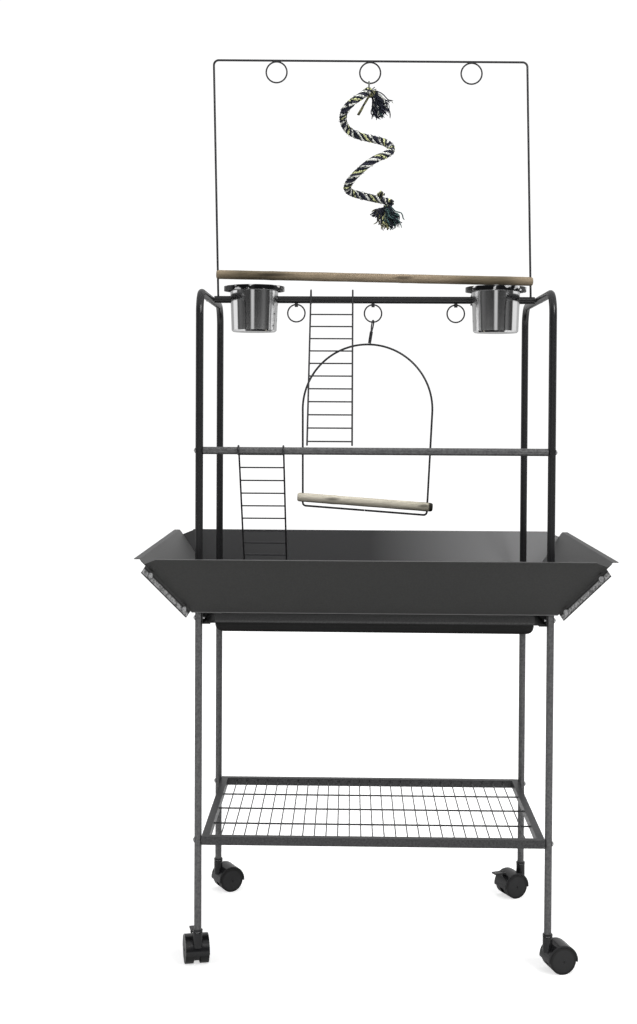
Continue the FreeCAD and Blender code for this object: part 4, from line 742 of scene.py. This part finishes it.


# Perches: bare, slightly uneven round branches with softened ends and a few knots. The upper one
# is grey-brown with darker stretches, the swing's is cream with a dark right end, and both have
# painted shade underneath.
def branch_wood(name, tones, pale, knots, end_dark):
    """Wood along X. tones are (x, brightness) stops and pale the wood's own colour. A knot is
    (x, y, z, stretch along X), and past end_dark the end is dark."""
    item = bpy.data.materials.new(name)
    item.use_nodes = True
    tree = item.node_tree
    shader = tree.nodes["Principled BSDF"]
    shader.inputs["Roughness"].default_value = 0.75
    shader.inputs["Specular IOR Level"].default_value = 0.2
    where = tree.nodes.new("ShaderNodeTexCoord")
    split = tree.nodes.new("ShaderNodeSeparateXYZ")
    tree.links.new(where.outputs["Object"], split.inputs["Vector"])
    stretch = tree.nodes.new("ShaderNodeMapping")
    stretch.inputs["Scale"].default_value = (12, 110, 110)
    grain = tree.nodes.new("ShaderNodeTexNoise")
    grain.inputs["Scale"].default_value = 2.2
    grain.inputs["Detail"].default_value = 7
    tree.links.new(where.outputs["Object"], stretch.inputs["Vector"])
    tree.links.new(stretch.outputs["Vector"], grain.inputs["Vector"])
    streak = tree.nodes.new("ShaderNodeValToRGB")
    streak.color_ramp.elements[0].position = 0.3
    streak.color_ramp.elements[0].color = (*[0.72 * channel for channel in pale], 1)
    streak.color_ramp.elements[1].position = 0.6
    streak.color_ramp.elements[1].color = (*pale, 1)
    tree.links.new(grain.outputs["Fac"], streak.inputs["Fac"])
    reach = 0.3
    place = tree.nodes.new("ShaderNodeMapRange")
    place.inputs["From Min"].default_value = -reach
    place.inputs["From Max"].default_value = reach
    tree.links.new(split.outputs["X"], place.inputs["Value"])
    bark = tree.nodes.new("ShaderNodeValToRGB")
    bark_stops = []
    for at, level in tones:
        colour = (level, level * (1.03 - 0.03 * level), level * (0.9 + 0.1 * level))
        bark_stops.append(((at + reach) / (2 * reach), colour))
    set_stops(bark.color_ramp, bark_stops)
    tree.links.new(place.outputs["Result"], bark.inputs["Fac"])
    geometry = tree.nodes.new("ShaderNodeNewGeometry")
    normal = tree.nodes.new("ShaderNodeSeparateXYZ")
    tree.links.new(geometry.outputs["Normal"], normal.inputs["Vector"])
    # Painted shade: the underside is darker, down to 0.62 of the colour where it faces straight
    # down.
    underside_shade = tree.nodes.new("ShaderNodeMapRange")
    underside_shade.inputs["From Min"].default_value = -0.95
    underside_shade.inputs["From Max"].default_value = 0.1
    underside_shade.inputs["To Min"].default_value = 0.62
    tree.links.new(normal.outputs["Z"], underside_shade.inputs["Value"])
    layers = [bark.outputs["Color"], underside_shade.outputs["Result"]]
    for x, y, z, long_way in knots:
        shift = tree.nodes.new("ShaderNodeVectorMath")
        shift.operation = "SUBTRACT"
        shift.inputs[1].default_value = (x, y, z)
        tree.links.new(where.outputs["Object"], shift.inputs[0])
        shrink = tree.nodes.new("ShaderNodeVectorMath")
        shrink.operation = "MULTIPLY"
        shrink.inputs[1].default_value = (1 / long_way, 1, 1 / 0.4)
        tree.links.new(shift.outputs["Vector"], shrink.inputs[0])
        near = tree.nodes.new("ShaderNodeVectorMath")
        near.operation = "LENGTH"
        tree.links.new(shrink.outputs["Vector"], near.inputs[0])
        spot = tree.nodes.new("ShaderNodeMapRange")
        spot.inputs["From Min"].default_value = 0.004
        spot.inputs["From Max"].default_value = 0.011
        spot.inputs["To Min"].default_value = 0.42
        tree.links.new(near.outputs["Value"], spot.inputs["Value"])
        layers.append(spot.outputs["Result"])
    if end_dark is not None:
        end = tree.nodes.new("ShaderNodeMapRange")
        end.inputs["From Min"].default_value = end_dark
        end.inputs["From Max"].default_value = end_dark - 0.003
        end.inputs["To Min"].default_value = 0.05
        tree.links.new(split.outputs["X"], end.inputs["Value"])
        layers.append(end.outputs["Result"])
    colour = streak.outputs["Color"]
    for layer in layers:
        mixed = tree.nodes.new("ShaderNodeMixRGB")
        mixed.blend_type = "MULTIPLY"
        mixed.inputs["Fac"].default_value = 1
        tree.links.new(colour, mixed.inputs["Color1"])
        tree.links.new(layer, mixed.inputs["Color2"])
        colour = mixed.outputs["Color"]
    tree.links.new(colour, shader.inputs["Base Color"])
    bump = tree.nodes.new("ShaderNodeBump")
    bump.inputs["Strength"].default_value = 0.35
    bump.inputs["Distance"].default_value = 0.0006
    tree.links.new(grain.outputs["Fac"], bump.inputs["Height"])
    tree.links.new(bump.outputs["Normal"], shader.inputs["Normal"])
    return item


def branch(name, start, end, knots, item, body, node_name):
    """An uneven rod from start to end, with rounded ends, that stands for a CAD perch."""
    radius, end_length, middle_steps, most = 0.0083, 0.0045, 150, 1.06
    start, end = Vector(start), Vector(end)
    length = (end - start).length
    stops = [0, 0.0006, 0.002, end_length]
    middle = length - 2 * end_length
    stops += [end_length + middle * k / middle_steps for k in range(1, middle_steps)]
    stops += [length - end_length, length - 0.002, length - 0.0006, length]
    points, radii = [], []
    for run in stops:
        inward = min(min(run, length - run) / end_length, 1)
        rounded = math.sqrt(max(0.0, 1 - (1 - inward) ** 2)) * 0.35 + 0.65
        uneven = 1 + 0.035 * noise.noise(Vector((run * 22, radius * 900, 0)))
        here = start.lerp(end, run / length)
        swell = sum(0.05 * math.exp(-((here.x - x) / 0.008) ** 2) for x, y, z, long_way in knots)
        points.append(here)
        radii.append(radius * rounded * min(uneven + swell, most))
    made = bmesh.new()
    add_tube(made, points, radii, sides=28, material_index=0)
    piece = mesh_object(name, made, [item], body)
    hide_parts(node_name)


UPPER_KNOTS = [(0.053, -0.008, 1.221, 2.2), (-0.19, -0.008, 1.226, 4.0)]
UPPER_TONES = [
    (-0.3, 0.9), (-0.285, 0.75), (-0.25, 0.42), (-0.20, 0.42), (-0.13, 0.8), (0.02, 1.0),
    (0.12, 0.9), (0.17, 0.5), (0.24, 0.42), (0.27, 0.75), (0.3, 1.0),
]
upper_wood = branch_wood("branch_brown", UPPER_TONES, (0.36, 0.285, 0.20), UPPER_KNOTS, None)
branch("upper_branch", (-0.2948, 0, 1.2266), (0.2948, 0, 1.2154), UPPER_KNOTS, upper_wood,
       "stand", "upper_perch")
SWING_KNOTS = [(-0.075, -0.008, 0.8085, 1.6), (0.095, -0.008, 0.7965, 1.2)]
SWING_TONES = [(-0.3, 1.0), (-0.1, 1.0), (0.04, 0.92), (0.1, 0.75), (0.3, 0.7)]
swing_wood = branch_wood("branch_cream", SWING_TONES, (0.72, 0.67, 0.555), SWING_KNOTS, 0.1055)
branch("swing_branch", (-0.1415, 0, 0.8117), (0.1115, 0, 0.7936), SWING_KNOTS, swing_wood,
       "swing", "swing_perch")

# Casters: black nylon with moulded, rounded edges. Each wheel has painted shade in a dark ring
# round its rim and a slightly lighter hub, so its material knows its own axle, which lies across
# the caster's direction.
CASTERS = (("front_left", 103), ("front_right", 15), ("rear_left", 28), ("rear_right", 205))
HUB_RADIUS, RIM_SHADE_RADIUS = 0.0185, 0.0200
WHEEL_ROUNDING, HOOD_ROUNDING = 0.0030, 0.0022
for tag, degrees in CASTERS:
    wheels = frame["nodes"][f"caster_wheels_{tag}"]
    low, high = (Vector(corner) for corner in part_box(f"caster_wheels_{tag}"))
    heading = math.radians(degrees)
    nylon = coated(f"wheel_{tag}", (0.017, 0.017, 0.018), (0.012, 0.012, 0.013),
                   grain=900, roughness=0.34, metallic=0, bump_height=0.00008)
    tree = nylon.node_tree
    from_axle = tree.nodes.new("ShaderNodeVectorMath")
    from_axle.operation = "SUBTRACT"
    from_axle.inputs[1].default_value = (low + high) / 2
    across_axle = tree.nodes.new("ShaderNodeVectorMath")
    across_axle.operation = "CROSS_PRODUCT"
    across_axle.inputs[1].default_value = (-math.sin(heading), math.cos(heading), 0)
    radius = tree.nodes.new("ShaderNodeVectorMath")
    radius.operation = "LENGTH"
    # Painted shade: past the hub's radius the wheel darkens to 0.12 of its colour at its rounded
    # rim.
    rim_shade = tree.nodes.new("ShaderNodeMapRange")
    rim_shade.inputs["From Min"].default_value = HUB_RADIUS
    rim_shade.inputs["From Max"].default_value = RIM_SHADE_RADIUS
    rim_shade.inputs["To Min"].default_value = 1
    rim_shade.inputs["To Max"].default_value = 0.12
    shaded = tree.nodes.new("ShaderNodeMixRGB")
    shaded.blend_type = "MULTIPLY"
    shaded.inputs["Fac"].default_value = 1
    for a, b in (
        (tree.nodes["Texture Coordinate"].outputs["Object"], from_axle.inputs[0]),
        (from_axle.outputs["Vector"], across_axle.inputs[0]),
        (across_axle.outputs["Vector"], radius.inputs[0]),
        (radius.outputs["Value"], rim_shade.inputs["Value"]),
        (tree.nodes["Color Ramp"].outputs["Color"], shaded.inputs["Color1"]),
        (rim_shade.outputs["Result"], shaded.inputs["Color2"]),
        (shaded.outputs["Color"], tree.nodes["Principled BSDF"].inputs["Base Color"]),
    ):
        tree.links.new(a, b)
    paint(nylon, f"caster_wheels_{tag}")
    hood = frame["nodes"][f"caster_hood_{tag}"]
    for piece, width in ((wheels, WHEEL_ROUNDING), (hood, HOOD_ROUNDING)):
        rounding = piece.modifiers.new("rounding", "BEVEL")
        rounding.width = width
        rounding.segments = 3
        rounding.limit_method = "ANGLE"
        rounding.angle_limit = math.radians(60)
        rounding.use_clamp_overlap = False

# Smooth shading: the CAD pieces with round faces are shaded smooth up to their sharp edges, which
# are the ones that turn by more than 35 degrees.
for node in frame["nodes"].values():
    for polygon in node.data.polygons:
        polygon.use_smooth = True
    edges = node.modifiers.new("edges", "EDGE_SPLIT")
    edges.split_angle = math.radians(35)

low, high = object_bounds()
